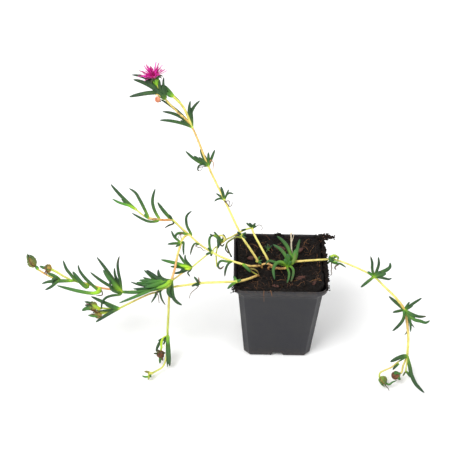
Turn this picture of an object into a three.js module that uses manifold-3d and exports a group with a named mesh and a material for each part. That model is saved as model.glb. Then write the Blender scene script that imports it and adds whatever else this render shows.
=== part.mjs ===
// Trailing ice plant in a square nursery pot, in millimetres, +Z up.
// The origin is the middle of the pot's base; the front of the plant faces -Y.

import * as THREE from 'three';
import Module from 'manifold-3d';

const wasm = await Module();
wasm.setup();

// Pot, a square nine-centimetre nursery pot
const rimWidth = 90;
const potHeight = 93;
const rimBandHeight = 5;
const shoulderHeight = 6;
const bodyTopWidth = 80.4;
const bodyBaseWidth = 65.6;
const bodyCorner = 6;
const rimCorner = 9;
const wall = 1.3;
const floorThickness = 2;
const baseBevel = 1.5;
const archWidth = 12;
const archTopWidth = 8;
const archHeight = 4.6;
const archDepth = 12;
const drainRadius = 3;

// Soil, lower at the back
const soilLevel = 86.5;
const soilSlope = 0.055;
const soilLump = 1.1;
const clearance = 0.3;

// Plant
const leafWidth = 3.2;
const leafSides = 4;
const stemSides = 5;
const stemStep = 12;
const stemRadius = 1.3;
const twigRadius = 0.8;
const rootDepth = 80;
const petalCount = 28;
const petalLength = 13;
const petalWidth = 1.5;
const petalThickness = 0.7;
const stamenCount = 12;

// Leaves are set out as seen from the front, looking down by this angle:
// so far to the right, so far up and so far nearer than where they grow
const lookDown = THREE.MathUtils.degToRad(37.4);
const right = new THREE.Vector3(1, 0, 0);
const up = new THREE.Vector3(0, Math.sin(lookDown), Math.cos(lookDown));
const near = new THREE.Vector3(0, -Math.cos(lookDown), Math.sin(lookDown));

const group = new THREE.Group();

function vector(xyz) {
  return new THREE.Vector3(...xyz);
}

function fromFront([r, u, n]) {
  return new THREE.Vector3().addScaledVector(right, r).addScaledVector(up, u).addScaledVector(near, n);
}

function solid(positions, triangles) {
  const mesh = new wasm.Mesh({
    numProp: 3,
    vertProperties: new Float32Array(positions),
    triVerts: new Uint32Array(triangles),
  });
  return new wasm.Manifold(mesh);
}

function fuse(solids) {
  return solids.flat(Infinity).reduce((whole, piece) => whole.add(piece));
}

function addMesh(name, body, color, roughness) {
  const data = body.getMesh();
  const geometry = new THREE.BufferGeometry();
  geometry.setAttribute('position', new THREE.BufferAttribute(new Float32Array(data.vertProperties), 3));
  geometry.setIndex(new THREE.BufferAttribute(new Uint32Array(data.triVerts), 1));
  const material = new THREE.MeshStandardMaterial({ color, roughness, metalness: 0 });
  const mesh = new THREE.Mesh(geometry, material);
  mesh.name = name;
  group.add(mesh);
}

// Rings of equal length joined side by side, closed flat at the first and
// last ring; a ring of one point is a tip
function skin(rings) {
  const positions = [];
  const triangles = [];
  const starts = rings.map((ring) => {
    const start = positions.length / 3;
    ring.forEach((point) => positions.push(point.x, point.y, point.z));
    return start;
  });
  const count = rings[0].length;
  for (let k = 1; k < count - 1; k += 1) {
    triangles.push(starts[0], starts[0] + k + 1, starts[0] + k);
  }
  for (let i = 1; i < rings.length; i += 1) {
    for (let k = 0; k < count; k += 1) {
      const next = (k + 1) % count;
      const a = starts[i - 1] + k;
      const b = starts[i - 1] + next;
      if (rings[i].length === 1) {
        triangles.push(a, b, starts[i]);
      } else {
        triangles.push(a, b, starts[i] + next, a, starts[i] + next, starts[i] + k);
      }
    }
  }
  if (rings.at(-1).length > 1) {
    const last = starts.at(-1);
    for (let k = 1; k < count - 1; k += 1) {
      triangles.push(last, last + k, last + k + 1);
    }
  }
  return solid(positions, triangles);
}

// A round or flattened rod through the centres, its last radius 0 for a tip
function sweep(centres, radii, sides, flatness = 1) {
  const rings = centres.map((centre, i) => {
    if (radii[i] === 0) {
      return [centre];
    }
    const before = centres[Math.max(i - 1, 0)];
    const after = centres[Math.min(i + 1, centres.length - 1)];
    const along = after.clone().sub(before).normalize();
    const side = along.clone().cross(near).normalize();
    const other = along.clone().cross(side);
    return Array.from({ length: sides }, (_, k) => {
      const angle = (2 * Math.PI * k) / sides;
      return centre
        .clone()
        .addScaledVector(side, radii[i] * Math.cos(angle))
        .addScaledVector(other, radii[i] * flatness * Math.sin(angle));
    });
  });
  return skin(rings);
}

function stem(path, startRadius, endRadius) {
  const curve = new THREE.CatmullRomCurve3(path.map(vector), false, 'catmullrom', 0.5);
  const spans = path.length - 1;
  const centres = [];
  const radii = [];
  for (let i = 0; i < spans; i += 1) {
    const steps = Math.max(1, Math.round(vector(path[i]).distanceTo(vector(path[i + 1])) / stemStep));
    for (let j = i === 0 ? 0 : 1; j <= steps; j += 1) {
      const t = (i + j / steps) / spans;
      centres.push(curve.getPoint(t));
      radii.push(THREE.MathUtils.lerp(startRadius, endRadius, t));
    }
  }
  return sweep(centres, radii, stemSides);
}

// A fleshy finger from base to tip, bowed sideways by a share of its length
function leaf(base, [r, u, n, bow = 0, width = leafWidth]) {
  const start = vector(base);
  const span = fromFront([r, u, n]);
  const length = span.length();
  const bend = fromFront([-u, r, 0]).multiplyScalar(bow);
  const steps = length < 10 ? 2 : length < 26 ? 3 : 4;
  const centres = [];
  const radii = [];
  for (let i = 0; i <= steps; i += 1) {
    const t = (i / steps) ** 0.7;
    centres.push(start.clone().addScaledVector(span, t).addScaledVector(bend, 4 * t * (1 - t)));
    radii.push(i === steps ? 0 : (width / 2) * leafProfile(t));
  }
  return sweep(centres, radii, leafSides, 0.9);
}

// Narrow where it grows, widest past the middle, then tapering
function leafProfile(t) {
  return (0.62 + 1.1 * t) * Math.sqrt(1 - t ** 2.2);
}

function whorl(base, leaves) {
  return leaves.map((offsets) => leaf(base, offsets));
}

// A round bud that starts at a point and grows towards a direction
function bud(start, [r, u, n], radius) {
  const span = fromFront([r, u, n]);
  const shares = [0, 0.2, 0.5, 0.8, 1];
  const girths = [0.5, 0.9, 1, 0.7, 0];
  const centres = shares.map((share) => start.clone().addScaledVector(span, share));
  return sweep(centres, girths.map((girth) => girth * radius), 7);
}

// The pot's plan at one height: a square with its corners cut straight,
// or rounded where it is the rim
function plan(halfWidth, corner, roundness, z) {
  const cornerSteps = 3;
  const points = [];
  for (let quarter = 0; quarter < 4; quarter += 1) {
    const turn = (quarter * Math.PI) / 2;
    for (let i = 0; i <= cornerSteps; i += 1) {
      const t = i / cornerSteps;
      const angle = (t * Math.PI) / 2;
      const x = halfWidth - corner + corner * THREE.MathUtils.lerp(1 - t, Math.cos(angle), roundness);
      const y = halfWidth - corner + corner * THREE.MathUtils.lerp(t, Math.sin(angle), roundness);
      points.push(new THREE.Vector3(x, y, z).applyAxisAngle(new THREE.Vector3(0, 0, 1), turn));
    }
  }
  return points;
}

const bodyTop = potHeight - rimBandHeight - shoulderHeight;
const quarters = [0, 1, 2, 3];

function bodyHalfWidth(z) {
  return THREE.MathUtils.lerp(bodyBaseWidth, bodyTopWidth, z / bodyTop) / 2;
}

function archPrism(margin, length, z) {
  const shape = new THREE.Shape();
  shape.moveTo(-archWidth / 2 - margin, -1);
  shape.lineTo(archWidth / 2 + margin, -1);
  shape.lineTo(archTopWidth / 2 + margin, z);
  shape.lineTo(-archTopWidth / 2 - margin, z);
  const outline = shape.getPoints();
  const start = bodyBaseWidth / 2 - archDepth - margin;
  return quarters.map((quarter) => {
    const turn = (quarter * Math.PI) / 2;
    const ends = [start, start + length].map((y) =>
      outline.map((point) => new THREE.Vector3(-point.x, y, point.y)),
    );
    const turned = ends.map((ring) =>
      ring.map((point) => point.applyAxisAngle(new THREE.Vector3(0, 0, 1), turn)),
    );
    return skin(turned);
  });
}

function makePot() {
  const rimHalf = rimWidth / 2;
  const outside = skin([
    plan(bodyHalfWidth(0) - baseBevel, bodyCorner, 0, 0),
    plan(bodyHalfWidth(baseBevel), bodyCorner, 0, baseBevel),
    plan(bodyTopWidth / 2, bodyCorner, 0, bodyTop),
    plan(rimHalf - 1, rimCorner, 1, potHeight - rimBandHeight),
    plan(rimHalf, rimCorner, 1, potHeight - 0.6),
    plan(rimHalf - 0.6, rimCorner, 1, potHeight),
  ]);
  const inside = skin([
    plan(bodyHalfWidth(floorThickness) - wall, bodyCorner, 0, floorThickness),
    plan(bodyTopWidth / 2 - wall, bodyCorner, 0, bodyTop),
    plan(rimHalf - 1 - wall, rimCorner, 1, potHeight - rimBandHeight),
    plan(rimHalf - 0.6 - wall, rimCorner, 1, potHeight + 1),
  ]);
  const tunnels = fuse(archPrism(wall, archDepth * 2, archHeight + wall));
  const arches = fuse(archPrism(0, archDepth * 2, archHeight));
  const drainY = bodyBaseWidth / 2 - archDepth / 2 - 1;
  const drains = quarters.map((quarter) => {
    const turn = (quarter * Math.PI) / 2;
    const centre = new THREE.Vector3(0, drainY, 0).applyAxisAngle(new THREE.Vector3(0, 0, 1), turn);
    return hole(centre, drainRadius, archHeight - 1, archHeight + wall + 1);
  });
  return outside.subtract(inside.subtract(tunnels)).subtract(arches).subtract(fuse(drains));
}

function hole(centre, radius, bottom, top) {
  const sides = 8;
  const rings = [bottom, top].map((z) =>
    Array.from({ length: sides }, (_, k) => {
      const angle = (2 * Math.PI * k) / sides;
      return new THREE.Vector3(centre.x + radius * Math.cos(angle), centre.y + radius * Math.sin(angle), z);
    }),
  );
  return skin(rings);
}

// Height of the crumbly surface: a gentle slope with lumps of three sizes
function soilHeight(x, y) {
  const large = Math.sin(x / 9 + 1.3) * Math.cos(y / 8 + 0.4);
  const middle = Math.sin(x / 3.7 + y / 5.1) * Math.cos(y / 3.9 - x / 6.3);
  const small = Math.sin(x / 1.9 - y / 2.3 + 2);
  return soilLevel - soilSlope * y + soilLump * (0.7 * large + 0.5 * middle + 0.25 * small);
}

function evenly(outline, count) {
  const edge = new THREE.CurvePath();
  outline.forEach((point, i) => {
    edge.add(new THREE.LineCurve3(point, outline[(i + 1) % outline.length]));
  });
  return Array.from({ length: count }, (_, k) => edge.getPointAt(k / count));
}

function makeSoil() {
  const around = 36;
  const shares = [1, 0.82, 0.64, 0.46, 0.28, 0.12];
  const gap = wall + clearance;
  const bottom = floorThickness + clearance;
  const foot = evenly(plan(bodyHalfWidth(bottom) - gap, bodyCorner, 0, bottom), around);
  const shoulder = evenly(plan(bodyTopWidth / 2 - gap, bodyCorner, 0, bodyTop), around);
  const top = shares.map((share) => shoulder.map(({ x, y }) => {
    const flare = share === 1 ? 1.012 : 1;
    return new THREE.Vector3(x * share * flare, y * share * flare, soilHeight(x * share, y * share));
  }));
  const middle = [new THREE.Vector3(0, 0, soilHeight(0, 0))];
  const body = skin([foot, shoulder, ...top, middle]);
  const tunnels = fuse(archPrism(wall + clearance, archDepth * 2, archHeight + wall + clearance));
  return body.subtract(tunnels);
}

// Bloom: a green cup and narrow petals in three layers, facing up and to the left
const bloomCentre = vector([-123, 85, 246.5]);
const bloomAxis = fromFront([-0.4, 1, 0.35]).normalize();
const bloomSide = bloomAxis.clone().cross(near).normalize();
const bloomOther = bloomAxis.clone().cross(bloomSide);

function bloomDirection(angle, lean) {
  return new THREE.Vector3()
    .addScaledVector(bloomSide, Math.cos(angle) * Math.sin(lean))
    .addScaledVector(bloomOther, Math.sin(angle) * Math.sin(lean))
    .addScaledVector(bloomAxis, Math.cos(lean));
}

// The cup ends just below the disc that carries the petals
function calyx() {
  const levels = [-4.8, -3.2, -1.2 - clearance];
  const centres = levels.map((level) => bloomCentre.clone().addScaledVector(bloomAxis, level));
  const sepals = [0, 1, 2, 3, 4].map((k) => {
    const out = bloomDirection(k * 1.26 + 0.4, THREE.MathUtils.degToRad(84));
    const points = [0, 3, 6.5].map((reach) => centres[1].clone().addScaledVector(out, reach));
    return sweep(points, [0.9, 0.9, 0], 4);
  });
  return [sweep(centres, [1, 2.3, 2.6], 8), sepals];
}

// Tall flower stem, leaning up, back and to the left
const tallPath = [
  [-21, 6, rootDepth], [-21, 6, 88], [-29, 11, 100], [-38, 16, 113], [-55, 34, 142], [-71, 50, 170],
  [-87, 67, 203], [-101, 73, 216], [-113, 76, 229], [-119, 80, 238], [-121, 83, 242.5],
];
const tallForkPath = [[-87, 67, 203], [-95, 74, 220], [-105, 80, 229]];
const dryShootPath = [
  [-36, 15, 110], [-42, 14, 112], [-47, 13, 110], [-52, 12, 105], [-50, 10, 98], [-47, 8, 92],
];
const tallStemParts = () => [
  stem(tallPath, stemRadius, 0.9),
  stem(tallForkPath, 1, 0.6),
  stem(dryShootPath, 0.6, 0.4),
  stem([[-52, 12, 105], [-53, 11, 99], [-50, 10, 95]], 0.5, 0.4),
  whorl([-22, 7, 91], [[3, 5, 2, 0, 2], [-2, 5, 3, 0, 2], [5, 1, 3, 0, 2]]),
  whorl(tallPath[3], [[-3, 3, 4, 0, 2], [5, 2, -2, 0, 2], [5, -3, 2, 0, 2]]),
  whorl(tallPath[4], [
    [-8, 6, -3], [-9.5, -2, 3, -0.2, 2.2], [-3, 12, 4], [-4, 9, -5], [4, 10, -4], [9, 5.5, 3, 0.3, 2.2],
    [4, -6, 3, 0.3, 1.6],
  ]),
  whorl(tallPath[5], [
    [-22, 14, 2, 0.05], [-14, 10, -5], [-9, 8, 6], [-8, 16, 2, 0.05], [-4, 11, -5, 0, 3.2], [0, 13, 5],
    [6, 16, -2], [-9, -4, 3, -0.35, 1.8], [4, -4, -3, 0.2, 1.4],
  ]),
  whorl(tallPath[6], [
    [-31, 6, 2, -0.06], [-29, 15, -5, -0.11], [-11, 6, 5], [-31.5, 27, -7, -0.06], [-2, 25, 3, 0.09],
    [7, 26, -3, 0.17], [-2, 20, -8],
  ]),
  whorl(tallForkPath[2], [[-9.5, 10.5, 2, 0.05, 4.6], [-9, 3.5, 4, 0, 3.2], [-5, 8, -3]]),
  whorl(tallPath[8], [
    [-34, 1, -2, -0.08, 3.4], [-30, 18, 3, -0.12, 3.6], [-32, 23, -8, -0.15], [-12, 11, 6, 0, 3.8],
    [-16, 16, -4, 0, 3.6], [-5, 17, 5], [-1.5, 19.5, 2, -0.1, 2.4], [-5, -1, 3, 0, 1.4],
  ]),
  calyx(),
];

function petal(k) {
  const layer = k % 3;
  const angle = k * Math.PI * (3 - Math.sqrt(5));
  const lean = THREE.MathUtils.degToRad([74, 56, 38][layer] + 5 * Math.sin(k * 2.7));
  const length = petalLength * (1 - 0.07 * layer + 0.06 * Math.sin(k * 4.1));
  const out = bloomDirection(angle, lean);
  const across = out.clone().cross(bloomAxis).normalize();
  const over = across.clone().cross(out);
  const root = bloomCentre.clone().add(bloomDirection(angle, Math.PI / 2).multiplyScalar(1.6));
  const shares = [0, 0.7, 1];
  const widths = [0.6, 1, 0.4];
  const rings = shares.map((share, i) => {
    const centre = root.clone()
      .addScaledVector(out, length * share)
      .addScaledVector(over, 2.2 * share * (1 - share));
    const halfWidth = (petalWidth / 2) * widths[i];
    return [[-1, -1], [1, -1], [1, 1], [-1, 1]].map(([x, y]) =>
      centre.clone()
        .addScaledVector(across, -x * halfWidth)
        .addScaledVector(over, (y * petalThickness) / 2));
  });
  return skin(rings);
}

function makePetals() {
  const core = bloomAxis.clone().multiplyScalar(1.2);
  const disc = sweep([bloomCentre.clone().sub(core), bloomCentre.clone().add(core)], [2.4, 2.6], 9);
  return fuse([disc, Array.from({ length: petalCount }, (_, k) => petal(k))]);
}

function makeStamens() {
  const foot = bloomCentre.clone().addScaledVector(bloomAxis, 1.5);
  const tuft = sweep([foot, foot.clone().addScaledVector(bloomAxis, 1.6)], [1, 0.8], 8);
  const threads = Array.from({ length: stamenCount }, (_, k) => {
    const out = bloomDirection(k * 2.4, THREE.MathUtils.degToRad(6 + 7 * (k % 3)));
    return sweep(
      [foot.clone().addScaledVector(out, 0.8), foot.clone().addScaledVector(out, 4.6 + 0.8 * (k % 2))],
      [0.3, 0.4],
      4,
    );
  });
  return fuse([tuft, threads]);
}

// Middle stem, upright at first, with a thin side shoot over the left rim
const middlePath = [[-11, 8, rootDepth], [-11, 8, 88], [-17, 14, 97], [-26, 25, 109], [-27, 29, 112]];
const middleShootPath = [
  [-27, 29, 112], [-33, 28, 111], [-39, 26, 109], [-46, 23, 106], [-53, 21, 103], [-58, 19, 100],
];
const middleStemParts = () => [
  stem(middlePath, stemRadius, 1),
  stem(middleShootPath, 0.8, 0.6),
  whorl(middlePath.at(-1), [
    [-6, 5, -2], [-3, 5, 4], [3, 5, -3], [4, 2, 3, 0, 2], [8, -1, 1, 0.35, 1.6], [-2, 4, -6],
  ]),
  whorl(middleShootPath[1], [[-5, -1, 2, 0, 2]]),
  whorl(middleShootPath[4], [[-1, 3, 1, 0, 1.6]]),
  whorl(middleShootPath[5], [
    [-3, 6, 2, 0.4, 2.2], [-6.5, 10.5, 3, 0, 2.6], [5, 6, 1, 0.3, 1.8], [-3, -6, 2, -0.1, 2.6],
    [4, 0, 3, -0.3, 1.6],
  ]),
];

// Long left stem at the back, with two side branches that meet in a fan
const leftBackPath = [
  [-18, -1, rootDepth], [-18, -1, 88], [-29, -7, 93], [-36, -8, 96], [-46, -6, 98], [-56, -4, 101],
  [-66, 1, 103], [-78, 8, 107], [-89, 18, 111], [-98, 28, 113], [-106, 36, 115], [-113, 34, 116],
  [-119, 33, 117], [-129, 35, 117], [-136, 39, 119], [-142, 44, 121],
];
const hangingPath = [
  [-89, 18, 111], [-92, 16, 111], [-95, 11, 110], [-96, 8, 108], [-99, -4, 103], [-101, -15, 96],
  [-104, -25, 88], [-106, -33, 75], [-107, -36, 54], [-108, -38, 36], [-108, -38, 28],
];
const fanPath = [
  [-66, 1, 103], [-71, -1, 101], [-77, -4, 97], [-86, -10, 92], [-93, -13, 89], [-99, -19, 88],
  [-104, -25, 88], [-110, -27, 82], [-116, -27, 76], [-125, -26, 72], [-138, -27, 65], [-155, -31, 57],
];
const leftCurlPath = [
  [-66, 2, 104], [-69, 6, 108], [-69, 9, 112], [-66, 10, 115], [-62, 10, 115], [-60, 7, 111],
  [-60, 4, 107],
];
const rimCurlPath = [[-49, -5, 99], [-56, -7, 97], [-59, -9, 95], [-57, -11, 92], [-54, -9, 93]];
const lowStalkPath = [
  [-108, -38, 28], [-110, -43, 20], [-110, -49, 12], [-110, -53, 8], [-113, -59, 6], [-118, -63, 5.5],
  [-122, -67, 6], [-125, -69, 6],
];
const lowBudPath = [[-108, -38, 28], [-114, -40, 24], [-114, -43, 17], [-115, -43, 13.7]];
const leftBackParts = () => [
  stem(leftBackPath, stemRadius, 0.8),
  stem(hangingPath, 1.1, 0.9),
  stem(fanPath, 1.2, 0.9),
  stem(leftCurlPath, 1, 0.7),
  stem(rimCurlPath, 0.8, 0.5),
  stem([[-66, 1, 103], [-64, 4, 105], [-61, 6, 106], [-62, 3, 98], [-61, 0, 92]], 0.5, 0.4),
  stem([[-155, -31, 57], [-168, -27, 56], [-180, -23, 53]], 0.9, 0.8),
  stem([[-155, -31, 57], [-167, -30, 51], [-175, -27, 47]], 0.9, 0.8),
  stem(lowStalkPath, 0.9, 0.7),
  stem(lowBudPath, 0.7, 0.6),
  whorl(leftBackPath[3], [[7, -6, 4, 0, 2.2]]),
  whorl(leftBackPath[4], [[-7.5, -13.5, 3, -0.1, 2.2]]),
  whorl(leftBackPath[6], [[-6, -2, 3], [-1, -4, -3], [-4, 4, 4, 0, 2.2]]),
  whorl(leftBackPath[7], [[-8.5, -10.5, 3, -0.28, 2]]),
  whorl(leftBackPath[8], [[2, 24, -2, 0.24, 2.4], [-11, -5, 2, -0.45, 2.4]]),
  whorl(leftBackPath[10], [[-14, 17, 0, 0.05], [-5, 4, 3, 0, 2], [-7, -8, 3, 0.2, 1.8]]),
  whorl(leftBackPath[12], [[-4.5, 31, -2, 0.13], [-26, 6, 4, 0.15]]),
  whorl(leftBackPath[13], [[-19, 29, 0, -0.08]]),
  whorl(leftBackPath.at(-1), [[-25, 24, -3, 0, 3.4], [-22, 9.5, 4], [-14, 10, -7]]),
  whorl(hangingPath[3], [[-10, 12, -3], [-13, -1, 4], [-5, -3, 6], [3, -11.5, 4, 0, 2.2]]),
  whorl(fanPath[3], [
    [-28, 8, -4], [-19, 1, 6], [-12, -1, -5], [-16, -5.5, 3], [-12, 13, -5, 0.06], [-5.5, 12.5, 3, -0.18],
    [-0.5, -8, 3, -0.3, 1.8],
  ]),
  whorl(hangingPath[6], [
    [-26, 10, -3, 0.1], [-23, 11, 4, 0.07], [-13, 12, -2, 0.2], [-24, -1, 8], [-27, 3, 2], [-31, 0, 0],
    [-33, -2, 5, 0, 3.4], [-39, -1, -3, 0.1, 2.4], [-37, -8, 3], [-35, -15, 5], [2, -17, 8, -0.3, 3.6],
    [11, -22.5, 6, -0.15, 3.6], [-20, -8, 7, 0.05, 3.8],
  ]),
  whorl(fanPath[8], [[-4, -11, 6, 0, 2.4], [6, -13, 5, -0.15, 2], [-14, 6, 8]]),
  whorl(fanPath.at(-1), [[-28, 13, -3, 0, 3.8], [-22, -13, 2], [-20, -2, -3, 0, 2.2], [-16, 5, 4, 0, 3.8]]),
  bud(vector([-179, -23, 53]), [-8, 1, 0], 4.2),
  whorl([-184, -22, 52], [[-5, 5, 1, 0, 2.2], [-6, 2, -3, 0, 2.2], [-6, -4, 1, 0, 2.2]]),
  bud(vector([-174, -27, 47]), [-7, -1, 0], 3.6),
  whorl([-178, -26, 46], [[-6, -2, 2, 0, 2.2], [-4, 4, 2, 0, 2]]),
  whorl(hangingPath.at(-1), [
    [3, -29, 3, 0, 3.8], [0, -27, -3, 0, 3.4], [-9, -4.5, 5, 0, 2.6], [-11, -15, 6, 0.1, 3.8],
    [-5, -8, 7], [1, -30, 4, 0, 1.8],
  ]),
  bud(vector(lowStalkPath.at(-1)), [-4, 1, 0], 2.6),
  whorl([-127, -69, 6], [[-4, 3, 0, 0, 1.6], [-5, -1, 1, 0, 1.6], [1, -4, 1, 0, 1.6], [-3, -1, 4, 0, 1.6]]),
];

// Long left stem at the front, over the left rim and out behind the fan
const leftFrontPath = [
  [-21, -15, rootDepth], [-21, -15, 88], [-29, -24, 92], [-36, -32, 96], [-42, -35, 97], [-58, -34, 95],
  [-77, -30, 90], [-88, -28, 86], [-100, -19, 76], [-111, -16, 71], [-126, -17, 68], [-140, -18, 68],
  [-153, -20, 69], [-164, -18, 70], [-174, -17, 71], [-186, -14, 73], [-194, -13, 74], [-201, -12, 75],
  [-213, -13, 77], [-221, -12, 79], [-228, -9, 81], [-234, -7, 84], [-238, -4, 86],
];
const upperBudPath = [[-201, -12, 75], [-210, -8, 79], [-218, -5, 82], [-223, -3, 83]];
const leftFrontParts = () => [
  stem(leftFrontPath, stemRadius, 0.8),
  stem(upperBudPath, 0.8, 0.6),
  whorl(leftFrontPath[4], [[-8.5, -7, 3, 0, 2.8], [-3, 5, -2, 0, 2.4]]),
  whorl(leftFrontPath[6], [
    [-6, 6, -2, 0, 2.2], [-3, 3, 4, 0, 2.4], [-8, -3, 2, 0, 2.4], [-1, 5, -3, 0, 1.8], [-9, -14, 2, 0, 1.2],
  ]),
  whorl([-133, -17, 68], [[-19, -9, -3]]),
  whorl(leftFrontPath[12], [
    [23, 0.5, -2, -0.02], [-25, 33, -4], [-17, 21, 5, 0, 4.2], [-30, 18, 1], [-7.5, 23, -3, -0.08],
    [-2.5, 34, 1, 0.1, 2.8], [-10, 11, 6, 0.35, 2.6],
    [-20, -18, -10, -0.25, 2.6],
  ]),
  whorl(leftFrontPath[14], [[-41, 2, 5, 0.12, 3.4], [-22, 22, -2, 0.1], [-9, -3, 6]]),
  whorl(leftFrontPath[15], [[-14, 12, 3, 0, 4]]),
  whorl(leftFrontPath[16], [[-17, 21, -2, 0.08]]),
  whorl(leftFrontPath[17], [[-28, -3, 4, -0.05, 3.4]]),
  whorl(leftFrontPath[18], [[-13, -10, 4], [-12, 6, 2], [-6, -4.5, 5, -0.2, 2.6]]),
  bud(vector(upperBudPath.at(-1)), [-5, 1, 0], 3),
  whorl([-225, -3, 83], [[-6, 1, 1, 0, 2], [-4, 3, 2, 0, 1.8]]),
  bud(vector([-238, -4, 86]), [-5, 9, 0], 4.4),
  whorl([-240, -2, 89], [[-4, 6, 1, 0, 2.2], [-6, 1, 2, 0, 2.2], [1, 7, 2, 0, 2], [-5, 4, -3, 0, 2]]),
];

// Crown of big leaves on the soil and the stem that hangs over the right rim
const rightPath = [
  [-11, -3, rootDepth], [-11, -3, 88], [-8, -5, 91], [-4, -8, 92], [5, -8, 92], [7, -6, 93], [12, -2, 95],
  [19, -3, 97], [33, -1, 97], [45, 1, 96.5], [51, 1, 97], [62, -4, 97], [77, -10, 94], [90, -16, 90],
  [101, -22, 82], [112, -26, 72], [121, -29, 60], [124, -34, 49], [126, -42, 35], [125, -54, 22],
];
const lowRightBudPath = [[125, -54, 22], [121, -60, 15], [120, -64, 11], [118, -65.5, 10]];
const lowRightStalkPath = [
  [125, -54, 22], [116, -58, 18], [110, -61, 14], [104, -62, 11], [99, -64, 9], [98, -68, 7],
];
const rightStemParts = () => [
  stem(rightPath, stemRadius, 0.9),
  stem(lowRightBudPath, 0.8, 0.7),
  stem(lowRightStalkPath, 0.8, 0.8),
  whorl(rightPath[5], [
    [-14, 21, 3, -0.08], [-21, 1, 3, -0.2, 2.6], [-12, -12, 14, -0.42], [3, -14, 16, 0.15],
    [0, -14, 18, 0.08, 2], [0, 12, 5, 0, 4.4],
  ]),
  whorl(rightPath[6], [
    [-15, 25, -3, -0.12, 3.2], [7.5, 23.5, 1, 0.05], [4.5, 12.5, -3, 0, 4.6], [-4, 7, 5, 0, 3.8],
  ]),
  whorl(rightPath[10], [
    [6, 3, 2], [12, -8, 3], [2, -8, 4, 0, 2.4], [-3, 4, -2, 0, 2.2], [-2, -15, 4, 0, 1.2],
    [-3, -6, 4, 0, 1.4],
  ]),
  whorl(rightPath[13], [
    [-3, 20, -5], [4.5, 20, 4, -0.08], [16, 14, -4, -0.15], [11, 3.5, 5, 0, 4.2], [18, -0.5, 5, -0.08, 2.4],
    [-13, -10, 4], [-6.5, 5, 4],
  ]),
  whorl(rightPath[16], [
    [-15, 13, 0, 0.03, 3.6], [-12, -2, 6], [-11.5, -20, 3, 0.08], [17, 11.5, -3], [4, 8, 4],
    [23, -9.5, 3, -0.15], [21, -6, 0, -0.06], [10.5, -17, -5, 0, 2], [5.5, -21, 4], [0.5, -24.5, -5, 0, 2],
  ]),
  whorl(rightPath.at(-1), [
    [-17, -5.5, 3, 0.05, 3.8], [17, -35, 14, -0.11, 3.8], [4, -18, 5, 0, 2.6], [-2, -14, 5, 0, 1.6],
  ]),
  whorl(lowRightStalkPath[1], [[-6, -6, 4, 0, 2.2], [-5, 3, -2, 0, 2]]),
  bud(vector(lowRightStalkPath.at(-1)), [3, -7, 1], 3.8),
  whorl([101, -72, 6], [[-5, -2, 2, 0, 1.8], [4, -3, 3, 0, 1.8], [3, 3, 2, 0, 1.8]]),
];

// Dry twig and a seedling that stand by themselves in the soil
const twigPath = [[12, 11, rootDepth], [12, 11, 92], [11, 13, 104], [10, 14, 118]];
const seedlingPath = [[-9, 25, rootDepth], [-9, 25, 87], [-11, 26, 92]];
const twigParts = () => [
  stem(twigPath, twigRadius, 0.4),
  whorl([10.5, 13, 110], [[2, 7, 1, 0, 0.9], [4, 3, -1, 0, 0.9], [-3, 4, 2, 0, 0.9]]),
];
const seedlingParts = () => [
  stem(seedlingPath, twigRadius, 0.5),
  whorl(seedlingPath.at(-1), [[-4, 2, 1, 0, 1.8], [3, 3, 2, 0, 1.8], [0, 4, -3, 0, 1.8]]),
];

// Withered buds, each just clear of the stalk that carries it
function witheredBud(stalkEnd, direction, radius, sepals) {
  const along = fromFront(direction).normalize();
  const start = vector(stalkEnd).addScaledVector(along, clearance);
  const shares = [0, 0.25, 0.55, 0.85, 1];
  const girths = [0.25, 0.85, 1, 0.65, 0];
  const centres = shares.map((share) => start.clone().addScaledVector(along, share * radius * 2.1));
  const body = sweep(centres, girths.map((girth) => girth * radius), 8);
  const middle = start.clone().addScaledVector(along, radius);
  return fuse([body, whorl(middle.toArray(), sepals)]);
}

// Bark chips, each pressed into a pocket of the soil
const chips = [
  { at: [-27, 12], size: [9, 5, 2], turn: 0.4 },
  { at: [1, 27], size: [12, 6, 2.4], turn: -0.5 },
  { at: [20, 23], size: [10, 5, 2], turn: 0.7 },
  { at: [20, -18], size: [11, 5, 2], turn: 0.2 },
  { at: [-5, -33], size: [7, 4, 1.8], turn: -0.3 },
  { at: [32, -30], size: [6, 4, 1.8], turn: 1.1 },
];

function chipSolid({ at: [x, y], size: [length, width, height], turn }, grow = 0, lift = 0) {
  const middle = new THREE.Vector3(x, y, soilHeight(x, y) + 0.6 + lift);
  const along = new THREE.Vector3(Math.cos(turn), Math.sin(turn), 0.12 * Math.sin(x)).normalize();
  const across = new THREE.Vector3(-Math.sin(turn), Math.cos(turn), 0.1 * Math.cos(y)).normalize();
  const rise = along.clone().cross(across);
  const rings = [[-1, 0.55], [-0.4, 1], [0.45, 0.85], [1, 0.4]].map(([share, girth]) => {
    const centre = middle.clone().addScaledVector(along, (share * (length + 2 * grow)) / 2);
    const halfWidth = (width / 2) * girth + grow;
    const halfHeight = (height / 2) * (0.6 + 0.4 * girth) + grow;
    return [[-1, -0.6], [-0.5, -1], [0.7, -0.9], [1, 0.2], [0.2, 1], [-0.8, 0.7]].map(([a, b]) =>
      centre.clone().addScaledVector(across, a * halfWidth).addScaledVector(rise, b * halfHeight));
  });
  return skin(rings);
}

const rooted = [
  [tallPath, stemRadius], [middlePath, stemRadius], [leftBackPath, stemRadius], [leftFrontPath, stemRadius],
  [rightPath, stemRadius], [twigPath, twigRadius], [seedlingPath, twigRadius],
];

function makePottedSoil() {
  const pocketRise = 1.5;
  const holes = rooted.map(([path, radius]) =>
    hole(vector(path[0]), radius + 2 * clearance, rootDepth - clearance, potHeight));
  const pockets = chips.map((chip) => [chipSolid(chip, clearance), chipSolid(chip, clearance, pocketRise)]);
  return makeSoil().subtract(fuse([holes, pockets]));
}

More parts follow.
